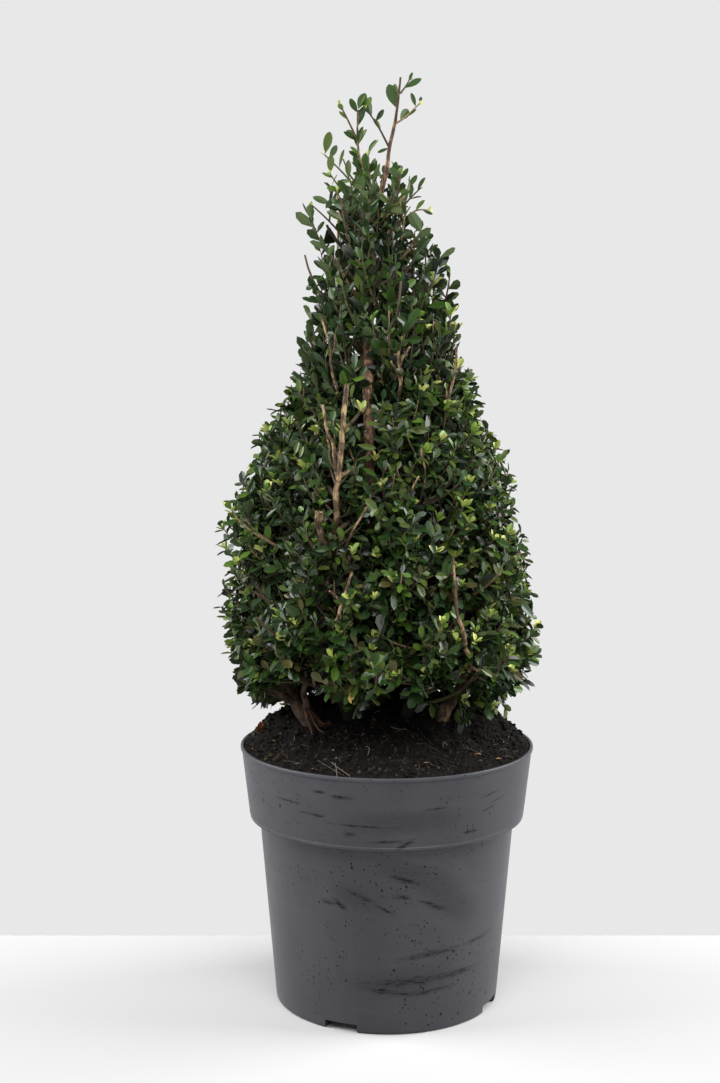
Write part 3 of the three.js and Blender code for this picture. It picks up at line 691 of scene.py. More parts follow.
# Near-black of wet bark and of painted shade under the hem
BARK_WET_AND_SHADED = (0.0080, 0.0052, 0.0040, 1)
CUT_COLOURS = ((0.17, 0.095, 0.052, 1), (0.36, 0.24, 0.14, 1))
CUT_NOISE = (700, 3)
CUT_LIMITS = (0.35, 0.65)


def flowing_line(points, steps):
    """A smooth line through points, at even steps along each stretch."""
    points = np.asarray(points, dtype=float)
    padded = np.concatenate((2 * points[:1] - points[1:2], points, 2 * points[-1:] - points[-2:-1]))
    share = np.linspace(0, 1, steps, endpoint=False)[:, None]
    line = []
    for before, start, end, after in zip(padded, padded[1:], padded[2:], padded[3:]):
        line.append(0.5 * (2 * start + (end - before) * share
                           + (2 * before - 5 * start + 4 * end - after) * share ** 2
                           + (3 * start - before - 3 * end + after) * share ** 3))
    return np.concatenate((*line, points[-1:]))


def even_line(line, step):
    """The same line with its points a set step apart, and the share of the way at each point."""
    along = np.concatenate(((0,), np.cumsum(np.linalg.norm(np.diff(line, axis=0), axis=1))))
    count = max(3, int(along[-1] / step))
    share = np.linspace(0, 1, count + 1)
    even = np.stack([np.interp(share * along[-1], along, line[:, i]) for i in range(3)], axis=1)
    return even, share


def bent_line(root, bend, tip, steps):
    share = np.linspace(0, 1, steps + 1)[:, None]
    return (1 - share) ** 2 * root + 2 * share * (1 - share) * bend + share ** 2 * tip


def read_off(place, table):
    """The value at a place, between the (place, value) pairs of a table."""
    return np.interp(place, *zip(*table))


def crown_point(angle, radius, height):
    """A point out from the crown's axis, which leans near its top, at an angle and a height."""
    angle, radius, height = np.broadcast_arrays(angle, radius, height)
    axis_x = read_off(height, CROWN_AXIS)
    return np.stack((axis_x + radius * np.cos(angle), radius * np.sin(angle), height), axis=-1)


def grow_limb(wood, line, radii):
    """Adds a limb along a line, ring by ring, closed at its foot and with a cut face at its tip."""
    headings = [Vector(step) for step in unit(np.gradient(line, axis=0))]
    turned_to = headings[0].to_track_quat("Z", "Y")
    frames = []
    for i, (point, heading) in enumerate(zip(line, headings)):
        if i:
            turned_to = headings[i - 1].rotation_difference(heading) @ turned_to
        frames.append(Matrix.LocRotScale(Vector(point), turned_to, Vector((radii[i],) * 3)))
    foot = bmesh.ops.create_circle(wood, cap_ends=True, segments=LIMB_SIDES, radius=1, matrix=frames[0])
    ring = foot["verts"]
    grown = set(ring)
    edges = [edge for edge in wood.edges if edge.verts[0] in grown and edge.verts[1] in grown]
    limb_verts = list(ring)
    for before, after in zip(frames, frames[1:]):
        new = bmesh.ops.extrude_edge_only(wood, edges=edges)["geom"]
        ring = [item for item in new if isinstance(item, bmesh.types.BMVert)]
        grown = set(ring)
        edges = [item for item in new if isinstance(item, bmesh.types.BMEdge) and set(item.verts) <= grown]
        bmesh.ops.transform(wood, matrix=after @ before.inverted(), verts=ring)
        limb_verts += ring
    for face in bmesh.ops.edgeloop_fill(wood, edges=edges)["faces"]:
        face.material_index = 1
    return limb_verts


def roughen_bark(verts, radii):
    """Lifts and sinks the surface in long cracks, lumps and fine flakes."""
    for vert, radius in zip(verts, radii):
        x, y, z = vert.co
        lift = sum(depth * noise.noise(Vector((x * across, y * across, z * along + offset)))
                   for depth, across, along, offset in BARK_LIFTS)
        vert.co += vert.normal * radius * lift


def make_bark(name, dark, brown, light, stain_and_shade_share):
    """Bark with long cracks and lighter patches, darker at its foot with wet potting mix and painted shade.
    """
    material, tree, shader, place = new_finish(name, *BARK_FINISH)
    fibres = speckle(tree, stretched(tree, place, FIBRE_STRETCH), *FIBRE_NOISE)
    flakes = ramp(tree, speckle(tree, place, *FLAKE_NOISE), *FLAKE_LIMITS)
    colour = tinted(tree, ramp(tree, fibres, *FIBRE_LIMITS), dark, brown)
    colour = tinted(tree, times(tree, flakes, ramp(tree, fibres, *FLAKE_FIBRES)), colour, light)
    # Painted shade with wet stain: the bark darkens in patches towards its foot, under the crown's hem
    low = ramp(tree, coordinate(tree, place, "Z"), *STAIN_AND_SHADE_HEIGHTS)
    stain_and_shade = times(tree, low, ramp(tree, speckle(tree, place, *STAIN_AND_SHADE_NOISE), *STAIN_AND_SHADE_LIMITS))
    colour = tinted(tree, times(tree, stain_and_shade, stain_and_shade_share), colour, BARK_WET_AND_SHADED)
    tree.links.new(colour, shader.inputs["Base Color"])
    relief(tree, shader, fibres, *BARK_RELIEF)
    return material


def two_toned(name, colours, patch_noise, limits):
    """Wood of two colours in small patches."""
    material, tree, shader, place = new_finish(name, *CUT_FINISH)
    patches = ramp(tree, speckle(tree, place, *patch_noise), *limits)
    tree.links.new(tinted(tree, patches, *colours), shader.inputs["Base Color"])
    return material


trunk_bark = make_bark("trunk_bark", *TRUNK_BARK)
stem_bark = make_bark("stem_bark", *STEM_COLOURS, 1.0)
stout_bark = make_bark("stout_bark", *STOUT_BARK)
right_bark = make_bark("right_bark", *STEM_COLOURS, RIGHT_STAIN_AND_SHADE)
barks = {"front_right": trunk_bark, "left": stout_bark, "right": right_bark}
cut_wood = two_toned("cut_wood", CUT_COLOURS, CUT_NOISE, CUT_LIMITS)


def wood_piece(name, limbs, bark, *nodes, crook=CROOK):
    """A piece of barked wood made of limbs, each a line with its foot and tip radius, taper and flare."""
    wood = bmesh.new()
    for line, foot_radius, tip_radius, taper, flare in limbs:
        even, share = even_line(line, LIMB_STEP)
        sway = np.array([noise.noise_vector(Vector(point) * CROOK_SCALE) for point in even])
        even = even + crook * sway * np.sin(math.pi * share)[:, None]
        radii = tip_radius + (foot_radius - tip_radius) * (1 - share) ** taper
        radii = radii * (1 + flare * np.exp(-share / ROOT_FLARE_REACH))
        verts = grow_limb(wood, even, radii)
        wood.normal_update()
        roughen_bark(verts[LIMB_SIDES:-LIMB_SIDES], np.repeat(radii[1:-1], LIMB_SIDES))
    bmesh.ops.recalc_face_normals(wood, faces=wood.faces)
    piece = piece_of(name, wood, [bark, cut_wood])
    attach(piece, "root")
    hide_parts(*nodes)


noise.seed_set(CROOK_SEED)
trunk_line, trunk_share = even_line(flowing_line(TRUNK_LINE, TRUNK_CURVE_STEPS), TRUNK_STEP)


def on_trunk(share):
    return np.array([np.interp(share, trunk_share, trunk_line[:, i]) for i in range(3)])


trunk_limb = (trunk_line, TRUNK_FOOT_RADIUS, TRUNK_TIP_RADIUS, 1, ROOT_FLARE)
wood_piece("trunk_wood", [trunk_limb], trunk_bark, "trunk")
limb_lines = {}
for i, side in enumerate(LOW_SIDES):
    angle = i * math.tau / len(LOW_SIDES)
    foot, bend, tip = (crown_point(angle, *place) for place in (STEM_FOOT, STEM_BEND, STEM_TIP))
    rise = bent_line(foot, bend, tip, CURVE_STEPS)
    line = flowing_line((*STEM_RISES.get(side, rise[::2]), *LOW_WOOD[side]), CURVE_STEPS)
    limb_lines[f"low_{side}"] = line
    foot_radius = STEM_RADII.get(side, SLIM_STEM_RADIUS)
    limbs = [(line, foot_radius, CUT_RADII.get(side, CUT_RADIUS), STEM_TAPER, STEM_FLARE)]
    limbs += [(flowing_line(fork, CURVE_STEPS), *FORK_RADII, 1, 0) for fork in STEM_FORKS.get(side, ())]
    wood_piece(f"stem_{side}_wood", limbs, barks.get(side, stem_bark), f"stem_{side}")


def bough_line(trunk_place, tip):
    """A bough's line off the trunk, hanging a little on its way."""
    root = on_trunk(trunk_place)
    bend = (root + tip) / 2 - np.array((0, 0, BOUGH_SAG * np.linalg.norm(tip - root)))
    return bent_line(root, bend, tip, BOUGH_STEPS)


for i, side in enumerate(UPPER_SIDES):
    angle = UPPER_TURN + i * math.tau / len(UPPER_SIDES)
    outward = np.array((math.cos(angle), math.sin(angle), 0))
    tip = on_trunk(UPPER_BOUGH_END) + UPPER_BOUGH_REACH * outward
    rise = bough_line(UPPER_BOUGH_START + UPPER_BOUGH_STEP * i, tip)
    onward = [tip + out * outward + (0, 0, up) for out, up in UPPER_ONWARD]
    line = flowing_line((*rise[::2], *onward), CURVE_STEPS)
    limb_lines[f"upper_{side}"] = line
    limb = (line, *UPPER_BOUGH_RADII, UPPER_BOUGH_TAPER, 0)
    wood_piece(f"bough_upper_{side}_wood", [limb], stem_bark, f"bough_upper_{side}")


# Surface roots: a few thin orange-brown roots that leave the foot of the left stem and run down into
# the potting mix.
ROOT_COLOURS = ((0.016, 0.0085, 0.0060, 1), (0.092, 0.038, 0.017, 1))
ROOT_NOISE = (160, 4)
ROOT_LIMITS = (0.36, 0.62)
# They fan out from one start to these ends on the potting mix, as (x, y)
ROOT_START = (-0.073, -0.025, 0.274)
ROOT_ENDS = ((-0.063, -0.046), (-0.052, -0.041), (-0.048, -0.024))
ROOT_FAN = 0.3
ROOT_FAN_MIDDLE = -0.06
ROOT_BOW = 0.003
ROOT_LIFT = 0.004
ROOT_SINK = 0.002
ROOT_RADII = (0.0019, 0.0005)
ROOT_TAPER = 0.8
root_limbs = []
for x, y in ROOT_ENDS:
    start_x, start_y, start_z = ROOT_START
    start_x += ROOT_FAN * (x - ROOT_FAN_MIDDLE)
    middle_x, middle_y = (x + start_x) / 2, (y + start_y) / 2 - ROOT_BOW
    middle = (middle_x, middle_y, soil_height(middle_x, y) + ROOT_LIFT)
    end = (x, y, soil_height(x, y) - ROOT_SINK)
    line = flowing_line(((start_x, start_y, start_z), middle, end), CURVE_STEPS)
    root_limbs.append((line, *ROOT_RADII, ROOT_TAPER, 0))
root_bark = two_toned("root_bark", ROOT_COLOURS, ROOT_NOISE, ROOT_LIMITS)
wood_piece("surface_roots", root_limbs, root_bark)


# Pruned wood: stubs and bare twigs that old cuts left at the front of the crown. They are tan, a few
# millimetres thick, grow on from the stems and end in pale cut faces.
# Each is given as its points and its foot and tip radius
PRUNED_WOOD = (
    (((-0.0435, -0.110, 0.490), (-0.0465, -0.107, 0.507), (-0.0562, -0.094, 0.555)), 0.0015, 0.0012),
    (((-0.0440, -0.110, 0.497), (-0.0500, -0.110, 0.512), (-0.0535, -0.104, 0.530)), 0.0009, 0.0006),
    (((-0.0560, -0.090, 0.415), (-0.0566, -0.112, 0.446), (-0.0580, -0.117, 0.466)), 0.0038, 0.0020),
    (((-0.0570, -0.110, 0.446), (-0.0600, -0.117, 0.458), (-0.0614, -0.119, 0.467)), 0.0022, 0.0010),
    (((-0.0420, -0.100, 0.425), (-0.0297, -0.116, 0.449), (-0.0172, -0.121, 0.473)), 0.0012, 0.0010),
    (((-0.0500, -0.110, 0.362), (-0.0438, -0.134, 0.382), (-0.0379, -0.138, 0.397),
      (-0.0313, -0.134, 0.417)), 0.0017, 0.0010),
    (((-0.0404, -0.136, 0.392), (-0.0503, -0.139, 0.402)), 0.0012, 0.0007),
    (((0.0650, -0.114, 0.354), (0.0590, -0.124, 0.380), (0.0560, -0.122, 0.400),
      (0.0534, -0.119, 0.430)), 0.0018, 0.0009),
    (((0.0690, -0.080, 0.326), (0.0800, -0.106, 0.327), (0.0930, -0.110, 0.324)), 0.0016, 0.0009),
    (((0.0080, -0.040, 0.530), (0.0106, -0.066, 0.566), (0.0090, -0.068, 0.593),
      (0.0120, -0.064, 0.618)), 0.0019, 0.0012),
    (((0.0100, -0.068, 0.588), (0.0180, -0.074, 0.604)), 0.0012, 0.0009),
    (((0.0100, -0.066, 0.575), (0.0020, -0.074, 0.592)), 0.0011, 0.0008),
    (((0.0500, -0.050, 0.525), (0.0541, -0.066, 0.557), (0.0569, -0.067, 0.576),
      (0.0592, -0.060, 0.604)), 0.0015, 0.0010),
    (((-0.0440, -0.050, 0.560), (-0.0498, -0.062, 0.593), (-0.0530, -0.062, 0.613),
      (-0.0590, -0.058, 0.630)), 0.0014, 0.0008),
    (((-0.0498, -0.060, 0.596), (-0.0440, -0.058, 0.618), (-0.0410, -0.050, 0.640)), 0.0010, 0.0007),
    (((0.0320, -0.080, 0.470), (0.0294, -0.104, 0.504), (0.0269, -0.103, 0.520)), 0.0011, 0.0008),
    (((0.0200, -0.084, 0.455), (0.0182, -0.110, 0.481), (0.0249, -0.114, 0.496)), 0.0011, 0.0008),
)
pruned_limbs = [(flowing_line(line, CURVE_STEPS), foot, tip, 1, 0) for line, foot, tip in PRUNED_WOOD]
wood_piece("pruned_wood", pruned_limbs, stem_bark)


# Shoots on top: slim shoots of the last year that stand free of the clipped crown. The leader goes on
# from the trunk's tip, and side twigs leave it and the two top boughs.
TOP_WOOD = {
    "left": ((-0.0238, 0.001, 0.765), (-0.0269, 0, 0.786), (-0.0265, -0.002, 0.8125)),
    "right": ((0.0098, -0.003, 0.7530), (0.0116, -0.004, 0.7600)),
    "leader": ((0.0016, 0, 0.781), (0.0071, 0, 0.8055), (0.0112, 0, 0.8410)),
}
TOP_RADII = {"left": 0.0012, "right": 0.0012, "leader": 0.0019}
TOP_TIP_RADIUS = 0.0009
TOP_CURVE_STEPS = 6
# Where the top boughs leave the trunk, as a share of its length, and where they end
TOP_BOUGHS = {"left": (0.87, (-0.0174, 0.002, 0.7442)), "right": (0.89, (0.0080, -0.003, 0.7420))}
top_roots = {side: bough_line(share, np.array(tip)) for side, (share, tip) in TOP_BOUGHS.items()}
top_roots["leader"] = trunk_line[-3:]
for side, radius in TOP_RADII.items():
    line = flowing_line((*top_roots[side], *TOP_WOOD[side]), TOP_CURVE_STEPS)
    limb_lines[f"top_{side}"] = line
    nodes = [f"bough_top_{side}"] if side in TOP_BOUGHS else []
    wood_piece(f"shoot_top_{side}_wood", [(line, radius, TOP_TIP_RADIUS, 1, 0)], stem_bark, *nodes, crook=0)


# Crown: the small twigs and leaves that fill the clipped bell. Each level of wood grows from the one
# before it to places spread by golden shares under the clipped surface, and leaves stand round its shoots.
GOLDEN = (math.sqrt(5) - 1) / 2
UP = np.array((0, 0, 1.0))
# Its outline, as (height, radius), and its lumps, as (waves round it, height of a turn of them)
CROWN_OUTLINE = (
    (0.262, 0.114), (0.285, 0.1285), (0.330, 0.1405), (0.375, 0.136), (0.440, 0.133), (0.462, 0.130),
    (0.490, 0.119), (0.530, 0.101), (0.562, 0.082), (0.600, 0.077), (0.630, 0.072), (0.665, 0.060),
    (0.700, 0.055), (0.745, 0.043), (0.790, 0.022),
)
CROWN_LUMP = 0.025
CROWN_WAVES = ((3, 0.037), (5, -0.023))
# Its hem, as (angle in degrees, height of the lowest leaves): tufts hang down, and stems show between them
HEM = (
    (0, 0.288), (25, 0.262), (60, 0.240), (130, 0.240), (165, 0.258), (185, 0.292), (213, 0.295),
    (219, 0.313), (243, 0.316), (246, 0.295), (251, 0.295), (253, 0.311), (255, 0.311), (257, 0.280),
    (267, 0.280), (269, 0.310), (280, 0.310), (281, 0.287), (286, 0.287), (287, 0.311), (300, 0.314),
    (302, 0.266), (315, 0.264), (318, 0.276), (350, 0.284), (360, 0.288),
)
HEM_RISE = 0.010
HEM_SCATTER = 0.003
# Shoots inside the crown's front start this much higher
INNER_RISE = 0.045
LOW_FLOOR = 0.252
LOW_CEILING = 0.570
LOW_WOOD_FLOOR = 0.276
UPPER_FLOOR = 0.540
UPPER_CEILING = 0.740
# Share of shoots that is missing by height, which leaves the upper crown open to the sky
THINNING = ((0.600, 0), (0.660, 0.25), (0.740, 0.64))
# Hollows in the clipped surface, where noise lies between these limits
RECESS_SCALE = 21
RECESS_DEPTH = 0.024
RECESS_LIMITS = (0.10, 0.35)
# Shoots that outgrew the last clipping, above the widest part
LONG_SHARE = 0.08
LONG_REACH = 0.009
LONG_FLOOR = 0.400
# Slots at the front: a swaying one before the trunk, and one before the right stem, as (height, x, y)
TRUNK_SLOT_MIDDLE = -0.0175
TRUNK_SLOT_HALF = 0.0082
TRUNK_SLOT_SWAY = 0.003
TRUNK_SLOT_PITCH = 0.013
TRUNK_SLOT_FRONT = -0.010
TRUNK_SLOT_LOW = 0.488
TRUNK_SLOT_HIGH = 0.600
STEM_SLOT = ((0.290, 0.050, -0.020), (0.320, 0.0645, -0.060), (0.340, 0.0650, -0.090),
             (0.365, 0.0610, -0.112))
STEM_SLOT_HALF = 0.0100
# Branches end at this share of the crown's radius. Wood is this long, and rises by this share of its length.
BRANCH_REACH = 0.70
BRANCH_LENGTH = 0.055
BRANCH_RISE = 0.45
BRANCH_FLOOR = 0.02
BRANCH_STEPS = 8
BRANCH_SIDES = 7
BRANCH_RADII = (0.0019, 0.0010)
BRANCH_VARIETY = (0.8, 1.3)
OLD_WOOD_STEP = 0.008
SHOOT_LENGTH = 0.048
SHOOT_FLOOR = 0.006
SHOOT_OVERLAP = 1.04
SHOOT_LEAST_RADIUS = 0.012
# How far under the surface shoots end: mean and scatter of the outer ones, and range of the inner ones
OUTER_DEPTH = (0.009, 0.0072)
INNER_DEPTH = 0.030
INNER_DEPTH_RANGE = 0.060
INNER_CROWDING = 1.6
PLACE_JITTER = 0.1
AREA_LEVELS = 60
# Wood runs out towards a corner over or under its tip, at this share of its rise, and is drawn to it so much
CORNER_HEIGHT = 0.4
CORNER_PULL = 0.6
TWIG_STEPS = 5
TWIG_SIDES = 4
TWIG_RADII = (0.00105, 0.0005)
TWIG_VARIETY = (0.85, 1.25)
TWIG_FINISH = (0.8, 0.25)
BARE_SHARE = 0.018
BARE_REACH = 0.006
BARE_THICKER = 0.0003
BARE_LEAVES = 0.5
TWIG_TINTS = ((0.058, 0.041, 0.025), (0.180, 0.122, 0.066), (0.062, 0.060, 0.025), (0.034, 0.023, 0.016))
TWIG_SHARES = (0.38, 0.12, 0.22, 0.28)
# Lengths of the leaves by height. They vary between limits, and are smaller towards the shoot's tip.
LEAF_LENGTHS = ((0.28, 0.0150), (0.45, 0.0124), (0.60, 0.0142), (0.72, 0.0164))
LEAF_VARIETY = (0.72, 1.24)
LEAF_AT_FOOT = 1.06
LEAF_LOST_AT_TIP = 0.26
# A few leaves are much larger than those beside them
LARGE_SHARE = 0.06
LARGE_SIZE = 1.35
LEAF_START = 0.30
LEAF_JITTER = 0.015
OFF_SQUARE = 0.01
LEAF_KEPT = 0.94
LEAF_CLEARANCE = 0.006
# Leaves lean along and away from the shoot, with a scatter, and face light from above and from outside.
# Near the hem they droop.
LEAF_ALONG = 0.72
LEAF_AWAY = 0.80
LEAF_SCATTER = 0.26
LIGHT_ABOVE = 0.56
LIGHT_OUTSIDE = 0.66
LIGHT_LOST = 0.30
FACE_SCATTER = 0.56
DROOP_HEIGHT = 0.322
DROOP_RANGE = 0.05
DROOP = 0.75
# Blades, as width by length and its range, fold along the midrib and arch, each as mean and scatter
LEAF_FORM = (0.39, 0.13, (0.24, 0.16), (0.08, 0.07))
YOUNG_FORM = (0.50, 0.12, (0.25, 0.15), (0.02, 0.08))
# Points along a blade, as (share of its length, share of its width)
LEAF_OUTLINE = ((0.17, 0.34), (0.50, 0.98), (0.84, 0.76))
FINE_LEAF_OUTLINE = ((0.08, 0.10), (0.22, 0.48), (0.40, 0.86), (0.58, 1.0), (0.75, 0.90), (0.90, 0.56))
LEAF_THICKNESS = 0.00035
MIDRIB_ANGLE = math.radians(9)
LEAF_TINTS = (
    (0.0044, 0.0097, 0.0024), (0.0136, 0.0318, 0.0062), (0.0213, 0.0472, 0.0082), (0.0168, 0.0362, 0.0122),
    (0.0455, 0.0680, 0.0125), (0.0535, 0.1010, 0.0130), (0.0490, 0.0460, 0.0140),
)
LOW_LEAF_SHARES = (0.135, 0.215, 0.15, 0.15, 0.16, 0.09, 0.10)
UPPER_LEAF_SHARES = (0.25, 0.33, 0.19, 0.10, 0.08, 0.03, 0.02)
LEAF_FINISH = (0.27, 0.21)
UNDERSIDE_FINISH = (0.62, 0.2)
YOUNG_FINISH = (0.45, 0.3)
# Share of leaves that have a tint of their own, and not the one of their spray
OWN_TINT_SHARE = 0.45
YOUNG_OWN_TINT_SHARE = 0.35
# How deep in the crown leaves take the darkest tint as painted shade, by height. A shoot's foot lies deeper
# than its tip.
SHADE_DEPTHS = ((0.400, 0.029), (0.470, 0.0245))
SHADE_START = 0.3
SHADE_MOST = 0.9
FOOT_DEPTH = 0.016
# Leaves near the hem take the darkest tint as painted shade under the crown, up to this share, between these
# heights
LOW_SHADE = 0.46
LOW_SHADE_HEIGHTS = (0.285, 0.340)
# Bronzed leaves grow only in the lower crown, and are of a greyer green above it
BRONZE_TINT = 6
GREYER_TINT = 3
BRONZE_CEILING = 0.425
UNDERSIDE_TINTS = ((0.048, 0.074, 0.026), (0.064, 0.094, 0.034))
YOUNG_TINTS = ((0.262, 0.318, 0.066), (0.420, 0.440, 0.132), (0.150, 0.225, 0.038), (0.080, 0.150, 0.025))
YOUNG_SHARES = (0.34, 0.22, 0.26, 0.18)
# Young leaves are most on the side of the sun, in degrees, and fewer at the hem and near the top
SUN_ANGLE = -18
YOUNG_LEVELS = ((0.29, 0.6), (0.33, 1), (0.62, 1), (0.70, 0.3))
YOUNG_LEAVES = 5
YOUNG_START = 0.94
YOUNG_LENGTHS = (0.0054, 0.0108)
# Growth of the young leaves by height
YOUNG_GROWTH = ((0.48, 1), (0.60, 1.28))
# They lean along and away from the shoot, up and outwards
YOUNG_ALONG = 0.72
YOUNG_AWAY = 0.72
YOUNG_UP = 0.20
YOUNG_OUT = 0.10
YOUNG_FACE_UP = 0.3
YOUNG_SCATTER = 0.20
# How the masses grow. Young shares are those on the side away from the sun and on its own side.
LOW_SEED = 31
UPPER_SEED = 41
LOW_GROWTH = {"branch_count": 28, "outer_count": 325, "inner_count": 125, "rise": 0.55}
UPPER_GROWTH = {"branch_count": 22, "outer_count": 124, "inner_count": 8, "rise": 0.95}
LOW_LEAVES = {"leaf_count": 11, "leaf_shares": LOW_LEAF_SHARES, "sag": 0.45,
              "young_shares": (0.130, 0.380)}
UPPER_LEAVES = {"leaf_count": 10, "leaf_shares": UPPER_LEAF_SHARES, "sag": -0.30,
                "young_shares": (0.012, 0.420)}


def crown_radius(height):
    return read_off(height, CROWN_OUTLINE)


def surface_radius(angle, height):
    """Radius of the clipped surface, which is a little lumpy."""
    lumps = sum(np.sin(count * angle + height / pitch) for count, pitch in CROWN_WAVES)
    return crown_radius(height) * (1 - CROWN_LUMP * lumps)


def spread_places(count, centre, width, low, high, rng):
    """Angles in golden shares of a sector and heights in steps of even area."""
    step = np.arange(count)
    share = (step * GOLDEN + PLACE_JITTER * rng.random(count)) % 1
    levels = np.linspace(low, high, AREA_LEVELS)
    area = np.cumsum(crown_radius(levels))
    height = np.interp((step + 0.5) / count * area[-1], area, levels)
    return centre + width * (share - 0.5), height


def grow_from(wood, tips, ideal, least_rise):
    """For each tip, the point of older wood it grows from: about the ideal way off, and lower."""
    gap = tips[:, None, :] - wood[None, :, :]
    distance = np.linalg.norm(gap, axis=2)
    cost = np.abs(distance - ideal) + np.maximum(0, least_rise * distance - gap[:, :, 2])
    return wood[np.argmin(cost, axis=1)]


def rising_bend(roots, tips):
    """Wood leaves outwards first and then turns up to its tip."""
    corner = (1 - CORNER_HEIGHT) * roots + CORNER_HEIGHT * tips
    corner = np.concatenate((tips[:, :2], corner[:, 2:]), axis=1)
    return (1 - CORNER_PULL) * (roots + tips) / 2 + CORNER_PULL * corner


def bent_lines(roots, bends, tips, steps):
    return np.stack([bent_line(*ends, steps) for ends in zip(roots, bends, tips)])


def leaf_faces(rows):
    """Faces of one leaf: its upper side, then its underside, over a shared outline."""
    tip = 3 * rows + 1

    def side(middles):
        faces = [(0, 3, middles[0]), (0, middles[0], 1)]
        for i in range(rows - 1):
            left, right = 1 + 3 * i, 3 + 3 * i
            faces += [(middles[i], right, right + 3), (middles[i], right + 3, middles[i + 1])]
            faces += [(left, middles[i], middles[i + 1]), (left, middles[i + 1], left + 3)]
        last = 3 * (rows - 1)
        faces += [(middles[-1], last + 3, tip), (last + 1, middles[-1], tip)]
        return faces
    upper = side([2 + 3 * i for i in range(rows)])
    under = side([tip + 1 + i for i in range(rows)])
    return np.array(upper + [face[::-1] for face in under])


def leaf_verts(outline, roots, directions, faces, lengths, widths, folds, bends):
    """Vertices of many leaves, each with a short stalk, a fold along its midrib and a bent blade."""
    side = unit(np.cross(directions, faces))
    normal = np.cross(side, directions)

    def point(along, across, lift):
        way = along * directions + across[:, None] * side + lift[:, None] * normal
        return roots + lengths[:, None] * way
    none = np.zeros(len(roots))
    verts = [point(0.0, none, none)]
    for along, breadth in outline:
        half = breadth * widths / 2
        for edge in (-1, 0, 1):
            verts.append(point(along, edge * half, abs(edge) * folds * half - bends * along ** 2))
    verts.append(point(1.0, none, -bends))
    for along, _ in outline:
        verts.append(point(along, none, -bends * along ** 2 - LEAF_THICKNESS / lengths))
    return np.stack(verts, axis=1)


def leafy_shoots(roots, bends, tips, outward, count, first, rng):
    """Places and headings for leaves set in a spiral along shoots, from a first share to the tip."""
    share = np.linspace(first, 1.0, count) + rng.normal(0, LEAF_JITTER, (len(roots), count))
    t = np.clip(share, 0, 1)[:, :, None]
    root, bend, tip = roots[:, None], bends[:, None], tips[:, None]
    place = (1 - t) ** 2 * root + 2 * t * (1 - t) * bend + t ** 2 * tip
    heading = unit((1 - t) * (bend - root) + t * (tip - bend))
    aside = np.broadcast_to(unit(np.cross(outward, UP))[:, None], heading.shape)
    across = unit(np.cross(heading, aside + OFF_SQUARE))
    beside = np.cross(heading, across)
    spin = math.tau * (GOLDEN * np.arange(count) + rng.random((len(roots), 1)))
    radial = np.cos(spin)[..., None] * across + np.sin(spin)[..., None] * beside
    return place, heading, radial, np.clip(share, 0, 1)


def leaf_piece(name, outline, blades, uppers, unders, finishes):
    """Joins leaves into one piece. Each leaf has one finish above and one below."""
    verts = leaf_verts(outline, *blades)
    faces = leaf_faces(len(outline))
    all_faces = faces + (np.arange(len(verts)) * verts.shape[1])[:, None, None]
    tints = np.repeat(np.stack((uppers, unders), axis=1).ravel(), len(faces) // 2)
    joined(name, verts.reshape(-1, 3), all_faces.reshape(-1, 3), tints, finishes, MIDRIB_ANGLE)


def blades_of(place, direction, face, size, form, rng):
    """Blades of one form, as flat lists of roots, directions, faces, lengths, widths, folds and arches."""
    width, width_range, fold, arch = form
    widths = width + width_range * rng.random(size.size)
    folds = rng.normal(*fold, size.size)
    arches = rng.normal(*arch, size.size)
    places = [values.reshape(-1, 3) for values in (place, direction, face)]
    return [*places, size.ravel(), widths, folds, arches]


leaf_finishes = plain_finishes("leaf", LEAF_TINTS, *LEAF_FINISH)
leaf_finishes += plain_finishes("underside", UNDERSIDE_TINTS, *UNDERSIDE_FINISH)
young_finishes = plain_finishes("young_leaf", YOUNG_TINTS, *YOUNG_FINISH)
twig_finishes = plain_finishes("twig", TWIG_TINTS, *TWIG_FINISH)


def hem_height(angle):
    return read_off(np.degrees(angle) % 360, HEM)


def hem_under(place):
    """Height of the hem at the angles of places in the crown."""
    axis_x = read_off(place[..., 2], CROWN_AXIS)
    return hem_height(np.arctan2(place[..., 1], place[..., 0] - axis_x))


def hides_wood(place):
    """True in the narrow slots at the front through which the trunk and the right stem show."""
    x, y, z = np.moveaxis(place, -1, 0)
    middle = TRUNK_SLOT_MIDDLE + TRUNK_SLOT_SWAY * np.sin(z / TRUNK_SLOT_PITCH)
    trunk = (np.abs(x - middle) < TRUNK_SLOT_HALF) & (y < TRUNK_SLOT_FRONT)
    trunk &= (z > TRUNK_SLOT_LOW) & (z < TRUNK_SLOT_HIGH)
    heights, middles, fronts = zip(*STEM_SLOT)
    stem = np.abs(x - np.interp(z, heights, middles)) < STEM_SLOT_HALF
    stem &= (y < np.interp(z, heights, fronts)) & (z < heights[-1])
    return trunk | stem


def across_to(directions, faces):
    """Faces turned square to their leaves' directions."""
    return unit(faces - (faces * directions).sum(-1, keepdims=True) * directions)


